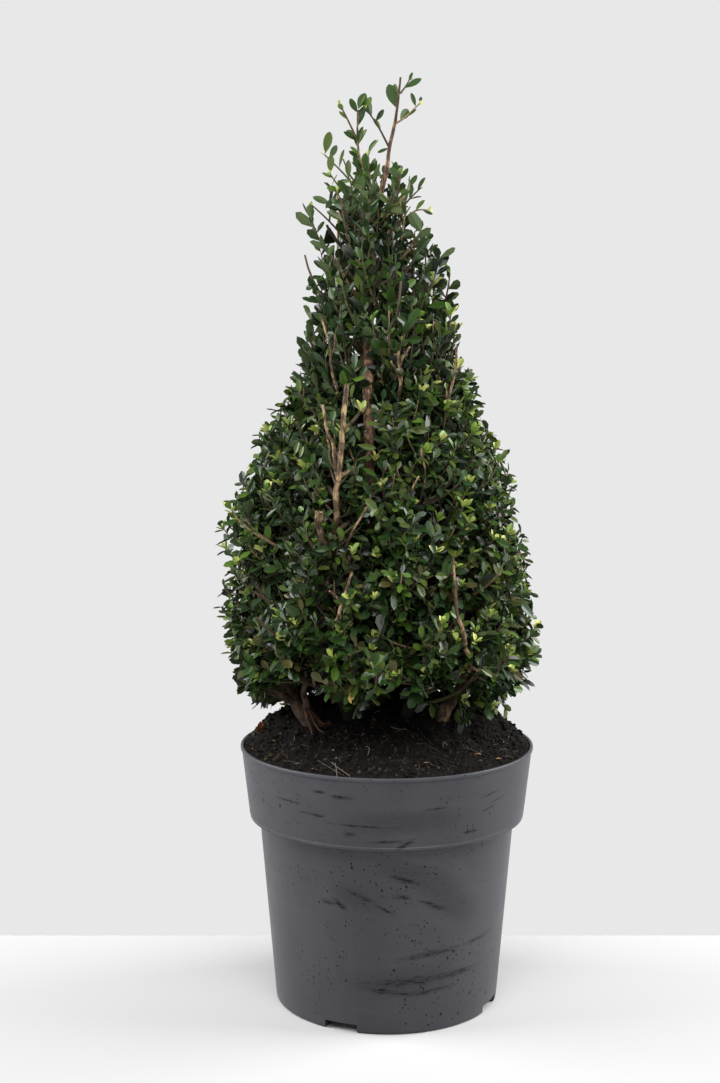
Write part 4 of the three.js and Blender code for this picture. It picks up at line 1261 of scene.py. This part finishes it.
def turned_leaves(roots, bends, tips, outward, count, first, sag, rng):
    """Leaves along shoots, with their blades turned to the light above and outside the crown."""
    place, heading, radial, share = leafy_shoots(roots, bends, tips, outward, count, first, rng)
    out = outward[:, None]
    droop = np.clip((DROOP_HEIGHT - place[..., 2:]) / DROOP_RANGE, 0, 1)
    light = unit((LIGHT_ABOVE - LIGHT_LOST * droop) * UP + LIGHT_OUTSIDE * out)
    direction = LEAF_ALONG * heading + LEAF_AWAY * radial
    direction = unit(direction + rng.normal(0, LEAF_SCATTER, radial.shape))
    leaning = np.maximum(0, (direction * out).sum(-1, keepdims=True))
    direction = unit(direction - (sag * leaning + DROOP * droop) * UP)
    face = across_to(direction, light + rng.normal(0, FACE_SCATTER, direction.shape))
    usual = read_off(place[..., 2], LEAF_LENGTHS)
    size = usual * ranged(rng, *LEAF_VARIETY, share.shape) * (LEAF_AT_FOOT - LEAF_LOST_AT_TIP * share ** 3)
    size = np.where(rng.random(share.shape) < LARGE_SHARE, LARGE_SIZE * size, size)
    return place, direction, face, size, share


def twig_piece(mass, groups, rng):
    """Joins groups of twigs, each with lines, radii and number of sides. They replace the mass's solid."""
    parts = [tubes(*group) for group in groups]
    starts = np.cumsum([0] + [len(verts) for verts, _ in parts])
    faces = np.concatenate([part_faces + start for (_, part_faces), start in zip(parts, starts)])
    tints = [np.repeat(dealt(rng, TWIG_SHARES, len(lines)), len(part_faces) // len(lines))
             for (lines, _, _), (_, part_faces) in zip(groups, parts)]
    verts = np.concatenate([verts for verts, _ in parts])
    twigs = joined(f"twigs_{mass}", verts, faces, np.concatenate(tints), twig_finishes)
    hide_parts(f"foliage_{mass}")


def grow_leaves(mass, shoots, bare, leaf_count, leaf_shares, sag, rng):
    """Makes the leaves of one clipped mass, with painted shade where they stand deep in it or near its hem.
    """
    *ends, depth = shoots
    place, direction, face, size, share = turned_leaves(*ends, leaf_count, LEAF_START, sag, rng)
    height = place[..., 2]
    spray_tint = np.repeat(dealt(rng, leaf_shares, len(depth))[:, None], leaf_count, 1)
    own_tint = dealt(rng, leaf_shares, share.size).reshape(share.shape)
    tint = np.where(rng.random(share.shape) < OWN_TINT_SHARE, own_tint, spray_tint)
    # Painted shade: leaves deep in the mass and near its hem are dealt the darkest tint
    shade = (depth[:, None] + FOOT_DEPTH * (1 - share)) / read_off(height, SHADE_DEPTHS)
    shade = np.clip(shade - SHADE_START, 0, SHADE_MOST)
    low, high = LOW_SHADE_HEIGHTS
    shade = np.maximum(shade, LOW_SHADE * np.clip((high - height) / (high - low), 0, 1))
    tint = np.where((tint == BRONZE_TINT) & (height > BRONZE_CEILING), GREYER_TINT, tint)
    tint = np.where(rng.random(share.shape) < shade, 0, tint)
    under = len(LEAF_TINTS) + rng.integers(0, len(UNDERSIDE_TINTS), share.shape)
    lowest = height + np.minimum(0, direction[..., 2]) * size
    keep = lowest > heap_height(place[..., 0], place[..., 1]) + LEAF_CLEARANCE
    keep &= lowest > hem_under(place) + rng.normal(0, HEM_SCATTER, share.shape)
    keep &= rng.random(share.shape) < LEAF_KEPT
    keep &= ~hides_wood(place)
    keep &= ~bare[:, None] | (share < BARE_LEAVES)
    keep = keep.ravel()
    blades = blades_of(place, direction, face, size, LEAF_FORM, rng)
    blades[-1] = np.abs(blades[-1])
    leaf_piece(f"leaves_{mass}", LEAF_OUTLINE, [values[keep] for values in blades], tint.ravel()[keep],
               under.ravel()[keep], leaf_finishes)


def grow_young_leaves(mass, shoots, bare, young_shares, rng):
    """Makes the tufts of young leaves at the ends of some shoots."""
    tips, outward = shoots[2:4]
    sun = 0.5 + 0.5 * np.cos(np.arctan2(outward[:, 1], outward[:, 0]) - math.radians(SUN_ANGLE))
    chance = np.interp(sun ** 4, (0, 1), young_shares) * read_off(tips[:, 2], YOUNG_LEVELS)
    young = (rng.random(len(tips)) < chance) & ~bare
    ends = [values[young] for values in shoots[:4]]
    place, heading, radial, share = leafy_shoots(*ends, YOUNG_LEAVES, YOUNG_START, rng)
    direction = YOUNG_ALONG * heading + YOUNG_AWAY * radial + YOUNG_UP * UP + YOUNG_OUT * ends[3][:, None]
    direction = unit(direction + rng.normal(0, YOUNG_SCATTER, direction.shape))
    face = heading + YOUNG_FACE_UP * UP + rng.normal(0, YOUNG_SCATTER, direction.shape)
    total = share.size
    size = rng.uniform(*YOUNG_LENGTHS, total) * read_off(place[..., 2].ravel(), YOUNG_GROWTH)
    tint = np.repeat(dealt(rng, YOUNG_SHARES, young.sum()), YOUNG_LEAVES)
    tint = np.where(rng.random(total) < YOUNG_OWN_TINT_SHARE, dealt(rng, YOUNG_SHARES, total), tint)
    blades = blades_of(place, direction, across_to(direction, face), size, YOUNG_FORM, rng)
    leaf_piece(f"young_leaves_{mass}", LEAF_OUTLINE, blades, tint, tint, young_finishes)


def dress_mass(mass, branches, shoots, leaf_count, leaf_shares, sag, young_shares, rng):
    """Makes the twigs, leaves and young leaves of one clipped mass from its branches and shoots."""
    roots, bends, tips, outward, depth = shoots
    bare = rng.random(len(roots)) < BARE_SHARE
    tips = tips + BARE_REACH * bare[:, None] * unit(tips - bends)
    twig_lines = bent_lines(roots, bends, tips, TWIG_STEPS)
    open_way = ~hides_wood(twig_lines).any(axis=1)
    twig_radii = np.linspace(*TWIG_RADII, TWIG_STEPS + 1) * ranged(rng, *TWIG_VARIETY, (len(roots), 1))
    twig_radii = np.where(bare[:, None], twig_radii + BARE_THICKER, twig_radii)
    branch_radii = np.linspace(*BRANCH_RADII, BRANCH_STEPS + 1)
    branch_radii = branch_radii * ranged(rng, *BRANCH_VARIETY, (len(branches), 1))
    twigs = (twig_lines[open_way], twig_radii[open_way], TWIG_SIDES)
    twig_piece(mass, (twigs, (branches, branch_radii, BRANCH_SIDES)), rng)
    shoots = (roots, bends, tips, outward, depth)
    grow_leaves(mass, shoots, bare, leaf_count, leaf_shares, sag, rng)
    grow_young_leaves(mass, shoots, bare, young_shares, rng)


def clipped_shoots(centre, width, low, high, wood, branch_count, outer_count, inner_count, rise, rng):
    """Branches and shoots of a clipped mass. The inner shoots end well under the surface."""
    angle, height = spread_places(branch_count, centre, width, low + BRANCH_FLOOR, high, rng)
    above = height > hem_height(angle) + 2 * HEM_RISE
    angle, height = angle[above], height[above]
    tips = crown_point(angle, surface_radius(angle, height) * BRANCH_REACH, height)
    roots = grow_from(wood, tips, BRANCH_LENGTH, BRANCH_RISE)
    branches = bent_lines(roots, rising_bend(roots, tips), tips, BRANCH_STEPS)
    older = np.concatenate((branches[:, 2:].reshape(-1, 3), wood))

    count = outer_count + inner_count
    angle, height = spread_places(count, centre, width * SHOOT_OVERLAP, low + SHOOT_FLOOR, high, rng)
    inner = rng.random(count) < inner_count / count
    kept = rng.random(count) > read_off(height, THINNING)
    rise_in = INNER_RISE * (inner & (np.sin(angle) < 0))
    kept &= height > hem_height(angle) + HEM_RISE + rise_in + rng.normal(0, HEM_SCATTER, count)
    angle, height, inner = angle[kept], height[kept], inner[kept]
    count = len(angle)
    inner_depth = INNER_DEPTH + INNER_DEPTH_RANGE * rng.random(count) ** INNER_CROWDING
    depth = np.where(inner, inner_depth, OUTER_DEPTH[0] + rng.normal(0, OUTER_DEPTH[1], count))
    tips = crown_point(angle, surface_radius(angle, height), height)
    hollow = np.array([noise.noise(Vector(tip) * RECESS_SCALE) for tip in tips])
    depth = depth + RECESS_DEPTH * np.interp(-hollow, RECESS_LIMITS, (0, 1))
    depth = depth - LONG_REACH * ((rng.random(count) < LONG_SHARE) & ~inner & (height > LONG_FLOOR))
    radius = np.maximum(SHOOT_LEAST_RADIUS, surface_radius(angle, height) - depth)
    tips = crown_point(angle, radius, height)
    roots = grow_from(older, tips, SHOOT_LENGTH, rise)
    outward = np.stack((np.cos(angle), np.sin(angle), 0 * angle), axis=1)
    return branches, (roots, rising_bend(roots, tips), tips, outward, depth)


for i, side in enumerate(LOW_SIDES):
    rng = np.random.default_rng(LOW_SEED + i)
    width = math.tau / len(LOW_SIDES)
    wood = even_line(limb_lines[f"low_{side}"], OLD_WOOD_STEP)[0]
    wood = wood[wood[:, 2] > LOW_WOOD_FLOOR]
    extent = (i * width, width, LOW_FLOOR, LOW_CEILING)
    branches, shoots = clipped_shoots(*extent, wood, rng=rng, **LOW_GROWTH)
    dress_mass(f"low_{side}", branches, shoots, rng=rng, **LOW_LEAVES)
for i, side in enumerate(UPPER_SIDES):
    rng = np.random.default_rng(UPPER_SEED + i)
    width = math.tau / len(UPPER_SIDES)
    centre = UPPER_TURN + i * width
    wood = even_line(limb_lines[f"upper_{side}"], OLD_WOOD_STEP)[0]
    wood = np.concatenate((wood, trunk_line[trunk_line[:, 2] > UPPER_FLOOR]))
    extent = (centre, width, UPPER_FLOOR, UPPER_CEILING)
    branches, shoots = clipped_shoots(*extent, wood, rng=rng, **UPPER_GROWTH)
    dress_mass(f"upper_{side}", branches, shoots, rng=rng, **UPPER_LEAVES)


# Leaves of the shoots on top: large and few, each on its own, with pale buds at the twigs' ends. The
# twigs are last year's growth, two millimetres thick at most.
TOP_TWIGS = {
    "leader": (((0.0112, 0, 0.827), (0.0156, 0.002, 0.833), (0.0189, 0.002, 0.8385)),
               ((0.0062, 0, 0.8004), (0.0152, -0.004, 0.8057), (0.0279, -0.007, 0.8172)),
               ((0.0012, 0, 0.7800), (-0.0084, 0.003, 0.7984), (-0.0196, 0.006, 0.8149))),
    "left": (((-0.0268, 0, 0.786), (-0.0356, -0.004, 0.8036), (-0.0428, -0.006, 0.8172)),
             ((-0.0200, 0, 0.7355), (-0.0392, -0.007, 0.7564), (-0.0559, -0.010, 0.7725)),
             ((-0.0230, -0.004, 0.7200), (-0.0400, -0.016, 0.7400), (-0.0510, -0.022, 0.7547)),
             ((-0.0300, -0.008, 0.7000), (-0.0428, -0.018, 0.7233), (-0.0447, -0.022, 0.7400)),
             ((-0.0340, -0.006, 0.6950), (-0.0519, -0.010, 0.7145), (-0.0673, -0.014, 0.7285)),
             ((-0.0120, -0.004, 0.7233), (-0.0147, -0.012, 0.7407), (-0.0174, -0.014, 0.7722)),
             ((-0.0210, 0.004, 0.7420), (-0.0330, 0.014, 0.7560), (-0.0400, 0.018, 0.7720))),
    "right": (((0.0060, -0.003, 0.7250), (0.0098, -0.010, 0.7442), (0.0116, -0.012, 0.7560)),
              ((0.0070, -0.003, 0.7200), (0.0189, -0.009, 0.7338), (0.0279, -0.012, 0.7425)),
              ((0.0010, -0.002, 0.7320), (0.0044, 0.006, 0.7512), (0.0053, 0.008, 0.7652)),
              ((0.0080, -0.003, 0.7120), (0.0240, -0.014, 0.7233), (0.0352, -0.018, 0.7240)),
              ((0.0080, 0.003, 0.7300), (0.0160, 0.014, 0.7400), (0.0200, 0.018, 0.7520))),
}
# Their leaves, as the x and height of the root and of the tip
TOP_LEAVES = {
    "leader": (
        (0.0076, 0.8132, 0.0007, 0.8345), (0.0089, 0.8245, 0.0050, 0.8341),
        (0.0174, 0.8370, 0.0209, 0.8445), (0.0152, 0.8315, 0.0290, 0.8395),
        (0.0098, 0.8030, 0.0171, 0.8141), (0.0152, 0.8060, 0.0243, 0.8123),
        (0.0238, 0.8145, 0.0198, 0.8259), (0.0276, 0.8169, 0.0290, 0.8230),
        (-0.0050, 0.7930, -0.0111, 0.8053), (-0.0140, 0.8065, -0.0202, 0.8242),
        (-0.0189, 0.8132, -0.0147, 0.8232), (-0.0100, 0.8010, -0.0030, 0.8110),
        (0.0016, 0.7791, -0.0085, 0.7759),
    ),
    "left": (
        (-0.0265, 0.7975, -0.0215, 0.8158), (-0.0268, 0.8110, -0.0210, 0.8262),
        (-0.0265, 0.8100, -0.0330, 0.8219), (-0.0400, 0.8120, -0.0445, 0.8204),
        (-0.0359, 0.8041, -0.0430, 0.8110), (-0.0269, 0.7850, -0.0383, 0.7940),
        (-0.0265, 0.7826, -0.0230, 0.7960), (-0.0552, 0.7720, -0.0510, 0.7914),
        (-0.0500, 0.7667, -0.0440, 0.7790), (-0.0505, 0.7530, -0.0497, 0.7690),
        (-0.0432, 0.7600, -0.0392, 0.7748), (-0.0352, 0.7509, -0.0361, 0.7673),
        (-0.0243, 0.7552, -0.0340, 0.7669), (-0.0483, 0.7494, -0.0572, 0.7540),
        (-0.0420, 0.7400, -0.0540, 0.7432), (-0.0447, 0.7358, -0.0546, 0.7259),
        (-0.0400, 0.7163, -0.0338, 0.7320), (-0.0428, 0.7233, -0.0540, 0.7280),
        (-0.0250, 0.7702, -0.0340, 0.7774), (-0.0174, 0.7700, -0.0111, 0.7836),
        (-0.0230, 0.7500, -0.0191, 0.7637), (-0.0147, 0.7425, -0.0184, 0.7567),
        (-0.0160, 0.7512, -0.0090, 0.7594), (-0.0350, 0.7510, -0.0450, 0.7480),
        (-0.0410, 0.7130, -0.0474, 0.7255), (-0.0260, 0.7830, -0.0190, 0.7949),
        (-0.0156, 0.7582, -0.0111, 0.7707), (-0.0301, 0.7360, -0.0247, 0.7495),
        (-0.0298, 0.7873, -0.0392, 0.7943), (-0.0274, 0.7812, -0.0247, 0.7952),
        (-0.0274, 0.7794, -0.0298, 0.7908), (-0.0220, 0.7830, -0.0193, 0.7952),
        (-0.0184, 0.7742, -0.0116, 0.7864), (-0.0256, 0.7715, -0.0329, 0.7789),
        (-0.0211, 0.7584, -0.0292, 0.7724), (-0.0205, 0.7570, -0.0174, 0.7742),
        (-0.0174, 0.7593, -0.0120, 0.7707), (-0.0265, 0.8125, -0.0215, 0.8250),
    ),
    "right": (
        (0.0112, 0.7503, 0.0177, 0.7593), (0.0070, 0.7500, 0.0030, 0.7648),
        (0.0189, 0.7338, 0.0211, 0.7481), (0.0247, 0.7399, 0.0312, 0.7508),
        (0.0100, 0.7425, 0.0042, 0.7515), (0.0189, 0.7338, 0.0289, 0.7371),
        (0.0040, 0.7495, -0.0045, 0.7618), (0.0048, 0.7560, 0.0074, 0.7682),
        (0.0020, 0.7400, 0.0082, 0.7525), (0.0080, 0.7330, 0.0024, 0.7245),
        (0.0098, 0.7400, 0.0180, 0.7420), (0.0298, 0.7235, 0.0390, 0.7200),
        (0.0160, 0.7180, 0.0110, 0.7320), (0.0240, 0.7233, 0.0320, 0.7320),
        (0.0180, 0.7450, 0.0260, 0.7560),
    ),
}
TOP_TWIG_STEPS = 4
TOP_TWIG_SIDES = 6
TOP_TWIG_RADII = (0.0010, 0.0006)
TOP_WOOD_STEP = 0.003
TOP_LEAF_SHARES = (0, 0.16, 0.40, 0.06, 0.24, 0.14, 0)
TOP_LEAF_FINISH = (0.45, 0.14)
TOP_LEAF_FORM = (0.31, 0.12, (0.22, 0.15), (0.06, 0.06))
# They are a little longer than they look from the front, lean to and fro, and face the front and the sky
TOP_LEAF_LONGER = 1.08
TOP_LEAF_LEAN = 0.30
TOP_LEAF_FACE = np.array((0, -0.85, 0.45))
TOP_FACE_SCATTER = 0.38
# Short shoots between them: how many, between which heights, and their spread, as (height, x, half width)
TOP_SHOOTS = {"leader": 1, "left": 8, "right": 8}
TOP_SHOOT_HEIGHTS = {"leader": (0.752, 0.772), "left": (0.728, 0.758), "right": (0.728, 0.756)}
TOP_SHOOT_SPREAD = ((0.728, -0.014, 0.042), (0.764, -0.020, 0.030), (0.790, -0.026, 0.014))
TOP_SHOOT_CROWDING = 1.3
TOP_SHOOT_LENGTH = 0.036
TOP_SHOOT_RISE = 0.85
TOP_SHOOT_CEILING = 0.76
TOP_SHOOT_LEAVES = 7
TOP_SHOOT_RADII = (0.0009, 0.0005)
BUD_LEAVES = 3
BUD_START = 0.96
BUD_ALONG = 0.9
BUD_AWAY = 0.5
BUD_UP = 0.2
LEAST_BUD = 0.0026
BUD_GROWTH = 0.0030
BUD_FORM = (0.42, 0.12, (0.25, 0.15), (0.02, 0.08))
TOP_SEED = 61
top_finishes = plain_finishes("top_leaf", LEAF_TINTS + UNDERSIDE_TINTS, *TOP_LEAF_FINISH)


def free_shoots(wood, low, high, count, rng):
    """Short upright shoots between two heights, grown from the wood below them."""
    height = low + (high - low) * rng.random(count) ** TOP_SHOOT_CROWDING
    levels, middles, halves = zip(*TOP_SHOOT_SPREAD)
    middle = np.interp(height, levels, middles)
    turn = math.tau * (GOLDEN * np.arange(count) + PLACE_JITTER * rng.random(count))
    reach = np.interp(height, levels, halves) * np.sqrt(rng.random(count))
    outward = np.stack((np.cos(turn), np.sin(turn), 0 * turn), axis=1)
    tips = np.stack((middle, 0 * middle, height), axis=1) + reach[:, None] * outward
    roots = grow_from(wood, tips, TOP_SHOOT_LENGTH, TOP_SHOOT_RISE)
    return roots, rising_bend(roots, tips), tips, outward


def even_taper(radii, lines):
    """Radii along lines of one length that all taper alike."""
    return np.broadcast_to(np.linspace(*radii, lines.shape[1]), lines.shape[:2])


def dress_top(side, shoot_count, rng):
    """Makes the twigs and leaves of one of the top shoots, with each leaf on the nearest wood."""
    lines = np.stack([flowing_line(twig, TOP_TWIG_STEPS) for twig in TOP_TWIGS[side]])
    wood = np.concatenate((lines.reshape(-1, 3), even_line(limb_lines[f"top_{side}"], TOP_WOOD_STEP)[0]))
    low_wood = wood[wood[:, 2] < TOP_SHOOT_CEILING]
    shoots = free_shoots(low_wood, *TOP_SHOOT_HEIGHTS[side], shoot_count, rng)
    shoot_lines = bent_lines(*shoots[:3], TWIG_STEPS)
    twigs = (lines, even_taper(TOP_TWIG_RADII, lines), TOP_TWIG_SIDES)
    short_twigs = (shoot_lines, even_taper(TOP_SHOOT_RADII, shoot_lines), TWIG_SIDES)
    twig_piece(f"top_{side}", (twigs, short_twigs), rng)

    seen = np.array(TOP_LEAVES[side])
    roots = np.stack([wood[np.argmin(np.hypot(wood[:, 0] - x, wood[:, 2] - z))] for x, z in seen[:, :2]])
    reach = seen[:, 2:] - seen[:, :2]
    away = rng.normal(0, TOP_LEAF_LEAN, len(reach)) * np.linalg.norm(reach, axis=1)
    ways = np.stack((reach[:, 0], away, reach[:, 1]), axis=1) * TOP_LEAF_LONGER
    directions = unit(ways)
    faces = across_to(directions, TOP_LEAF_FACE + rng.normal(0, TOP_FACE_SCATTER, ways.shape))
    place, direction, face, size, _ = turned_leaves(*shoots, TOP_SHOOT_LEAVES, LEAF_START, 0.0, rng)
    roots = np.concatenate((roots, place.reshape(-1, 3)))
    directions = np.concatenate((directions, direction.reshape(-1, 3)))
    faces = np.concatenate((faces, face.reshape(-1, 3)))
    sizes = np.concatenate((np.linalg.norm(ways, axis=1), size.ravel()))
    tint = dealt(rng, TOP_LEAF_SHARES, len(roots))
    under = len(LEAF_TINTS) + rng.integers(0, len(UNDERSIDE_TINTS), len(roots))
    blades = blades_of(roots, directions, faces, sizes, TOP_LEAF_FORM, rng)
    blades[-1] = np.abs(blades[-1])
    leaf_piece(f"leaves_top_{side}", FINE_LEAF_OUTLINE, blades, tint, under, top_finishes)

    outward = unit((lines[:, -1] - lines[:, 0]) * (1, 1, 0))
    ends = (lines[:, 0], lines[:, lines.shape[1] // 2], lines[:, -1], outward)
    place, heading, radial, share = leafy_shoots(*ends, BUD_LEAVES, BUD_START, rng)
    direction = unit(BUD_ALONG * heading + BUD_AWAY * radial + BUD_UP * UP)
    face = across_to(direction, heading + rng.normal(0, YOUNG_SCATTER, direction.shape))
    tint = np.repeat(dealt(rng, YOUNG_SHARES, len(lines)), BUD_LEAVES)
    size = LEAST_BUD + BUD_GROWTH * rng.random(share.size)
    blades = blades_of(place, direction, face, size, BUD_FORM, rng)
    leaf_piece(f"young_leaves_top_{side}", LEAF_OUTLINE, blades, tint, tint, young_finishes)


for i, (side, shoot_count) in enumerate(TOP_SHOOTS.items()):
    dress_top(side, shoot_count, np.random.default_rng(TOP_SEED + i))


# Litter: a dead leaf that stands at the left rim, other leaves and bits that fell on the potting mix, and
# a leaf gone yellow that hangs at the front of the hem. They are dry and curled.
# Each is given as root, direction, face, length, width by length and tint
DEAD_LEAVES = (
    ((-0.1175, 0.008, 0.2400), (0.06, -0.20, 1.0), (0.3, -1.0, 0.1), 0.0175, 0.50, 0),
    ((-0.1080, 0.004, 0.2450), (-0.7, -0.6, 0.15), (0.1, 0.2, 1.0), 0.0120, 0.48, 1),
    ((-0.1000, -0.030, 0.2475), (-0.8, 0.3, 0.05), (0, 0.1, 1.0), 0.0110, 0.46, 2),
    ((-0.0930, 0.036, 0.2500), (-0.5, -0.8, 0.10), (0.2, 0, 1.0), 0.0120, 0.45, 1),
    ((0.0765, -0.076, 0.2475), (0.9, -0.2, 0.05), (0, 0, 1.0), 0.0060, 0.50, 4),
    ((0.0950, -0.078, 0.2435), (0.9, 0.2, 0.10), (0, 0.1, 1.0), 0.0050, 0.45, 3),
    ((0.0300, -0.108, 0.2470), (0.8, 0.5, 0.05), (0.1, 0, 1.0), 0.0070, 0.42, 1),
    ((-0.0330, -0.1190, 0.3120), (0.25, -0.45, -0.8), (-0.3, -1.0, 0.3), 0.0110, 0.62, 3),
)
DEAD_TINTS = ((0.200, 0.066, 0.026), (0.120, 0.062, 0.030), (0.100, 0.110, 0.045), (0.480, 0.340, 0.090),
              (0.180, 0.120, 0.060))
DEAD_FINISH = (0.7, 0.2)
DEAD_CURL = 0.45
DEAD_ARCH = 0.18
roots, directions, faces, lengths, widths, tints = (np.array(values) for values in zip(*DEAD_LEAVES))
directions = unit(directions)
blades = (roots, directions, across_to(directions, faces), lengths, widths, np.full(len(roots), DEAD_CURL),
          np.full(len(roots), DEAD_ARCH))
leaf_piece("dead_leaves", FINE_LEAF_OUTLINE, blades, tints, tints,
           plain_finishes("dead_leaf", DEAD_TINTS, *DEAD_FINISH))


# Studio: a pale floor that ends behind the pot, made paler by painted light in the pot's shadow behind it, an
# even pale surround, and soft lights at the front and at both sides. The camera stands where the photo was
# taken from.
FLOOR_WIDTH = 3.2
FLOOR_FRONT = 1.25
FLOOR_BACK = 0.150
FLOOR_THICKNESS = 0.004
# Painted light: the floor is paler behind the pot, where the pot and crown cast their shadow, and fades to
# grey towards the front
FLOOR_PAINTED_LIGHT_BEHIND = (0.440, 0.440, 0.440, 1)
FLOOR_GREY = (0.385, 0.385, 0.385, 1)
FLOOR_PAINTED_LIGHT_FADE = (0.04, -0.26)
FLOOR_FINISH = (0.6, 0.3)
SURROUND = (0.805, 0.806, 0.808, 1)
CEILING = (0.12, 0.12, 0.12, 1)
CEILING_LIMITS = (0.30, 0.50)
# Soft lights, as (name, place, size, power), all turned to the crown
LIGHTS = (
    ("light_left", (-1.5, 0.0, 1.15), 1.2, 53), ("light_right", (1.5, 0.1, 1.15), 1.2, 62),
    ("light_top", (0, -1.40, 1.95), 1.5, 51),
)
LIT_POINT = Vector((0, 0, 0.4))
CAMERA_PLACE = (-0.0247, -1.543, 0.611)
CAMERA_DIP = 6.8
IMAGE_HEIGHT = 1083
FOCAL_PIXELS = 1700


def make_floor_painted_light():
    material, tree, shader, place = new_finish("floor_paint", *FLOOR_FINISH)
    # Painted light behind the pot, against its shadow
    near = ramp(tree, coordinate(tree, place, "Y"), *FLOOR_PAINTED_LIGHT_FADE)
    tree.links.new(tinted(tree, near, FLOOR_PAINTED_LIGHT_BEHIND, FLOOR_GREY), shader.inputs["Base Color"])
    return material


slab = bmesh.new()
floor_size = Matrix.Diagonal((FLOOR_WIDTH, FLOOR_FRONT + FLOOR_BACK, FLOOR_THICKNESS, 1))
floor_place = Matrix.Translation((0, (FLOOR_BACK - FLOOR_FRONT) / 2, -FLOOR_THICKNESS / 2))
bmesh.ops.create_cube(slab, size=1, matrix=floor_place @ floor_size)
floor = piece_of("floor", slab, [make_floor_painted_light()])

scene = bpy.context.scene
scene.view_settings.view_transform = "Standard"
scene.world = bpy.data.worlds.new("surround")
scene.world.use_nodes = True
sky = scene.world.node_tree
outlook = sky.nodes.new("ShaderNodeTexCoord").outputs["Generated"]
overhead = ramp(sky, coordinate(sky, outlook, "Z"), *CEILING_LIMITS)
sky.links.new(tinted(sky, overhead, SURROUND, CEILING), sky.nodes["Background"].inputs["Color"])
for name, place, size, power in LIGHTS:
    lamp = bpy.data.lights.new(name, "AREA")
    lamp.size = size
    lamp.energy = power
    light = bpy.data.objects.new(name, lamp)
    light.location = place
    light.rotation_euler = (LIT_POINT - Vector(place)).to_track_quat("-Z", "Y").to_euler()
    scene.collection.objects.link(light)

view = bpy.data.cameras.new("view")
view.sensor_width = 36
view.lens = view.sensor_width * FOCAL_PIXELS / IMAGE_HEIGHT
camera = bpy.data.objects.new("view", view)
camera.location = CAMERA_PLACE
camera.rotation_euler = (math.radians(90 - CAMERA_DIP), 0, 0)
scene.collection.objects.link(camera)
scene.camera = camera

bpy.context.view_layer.update()
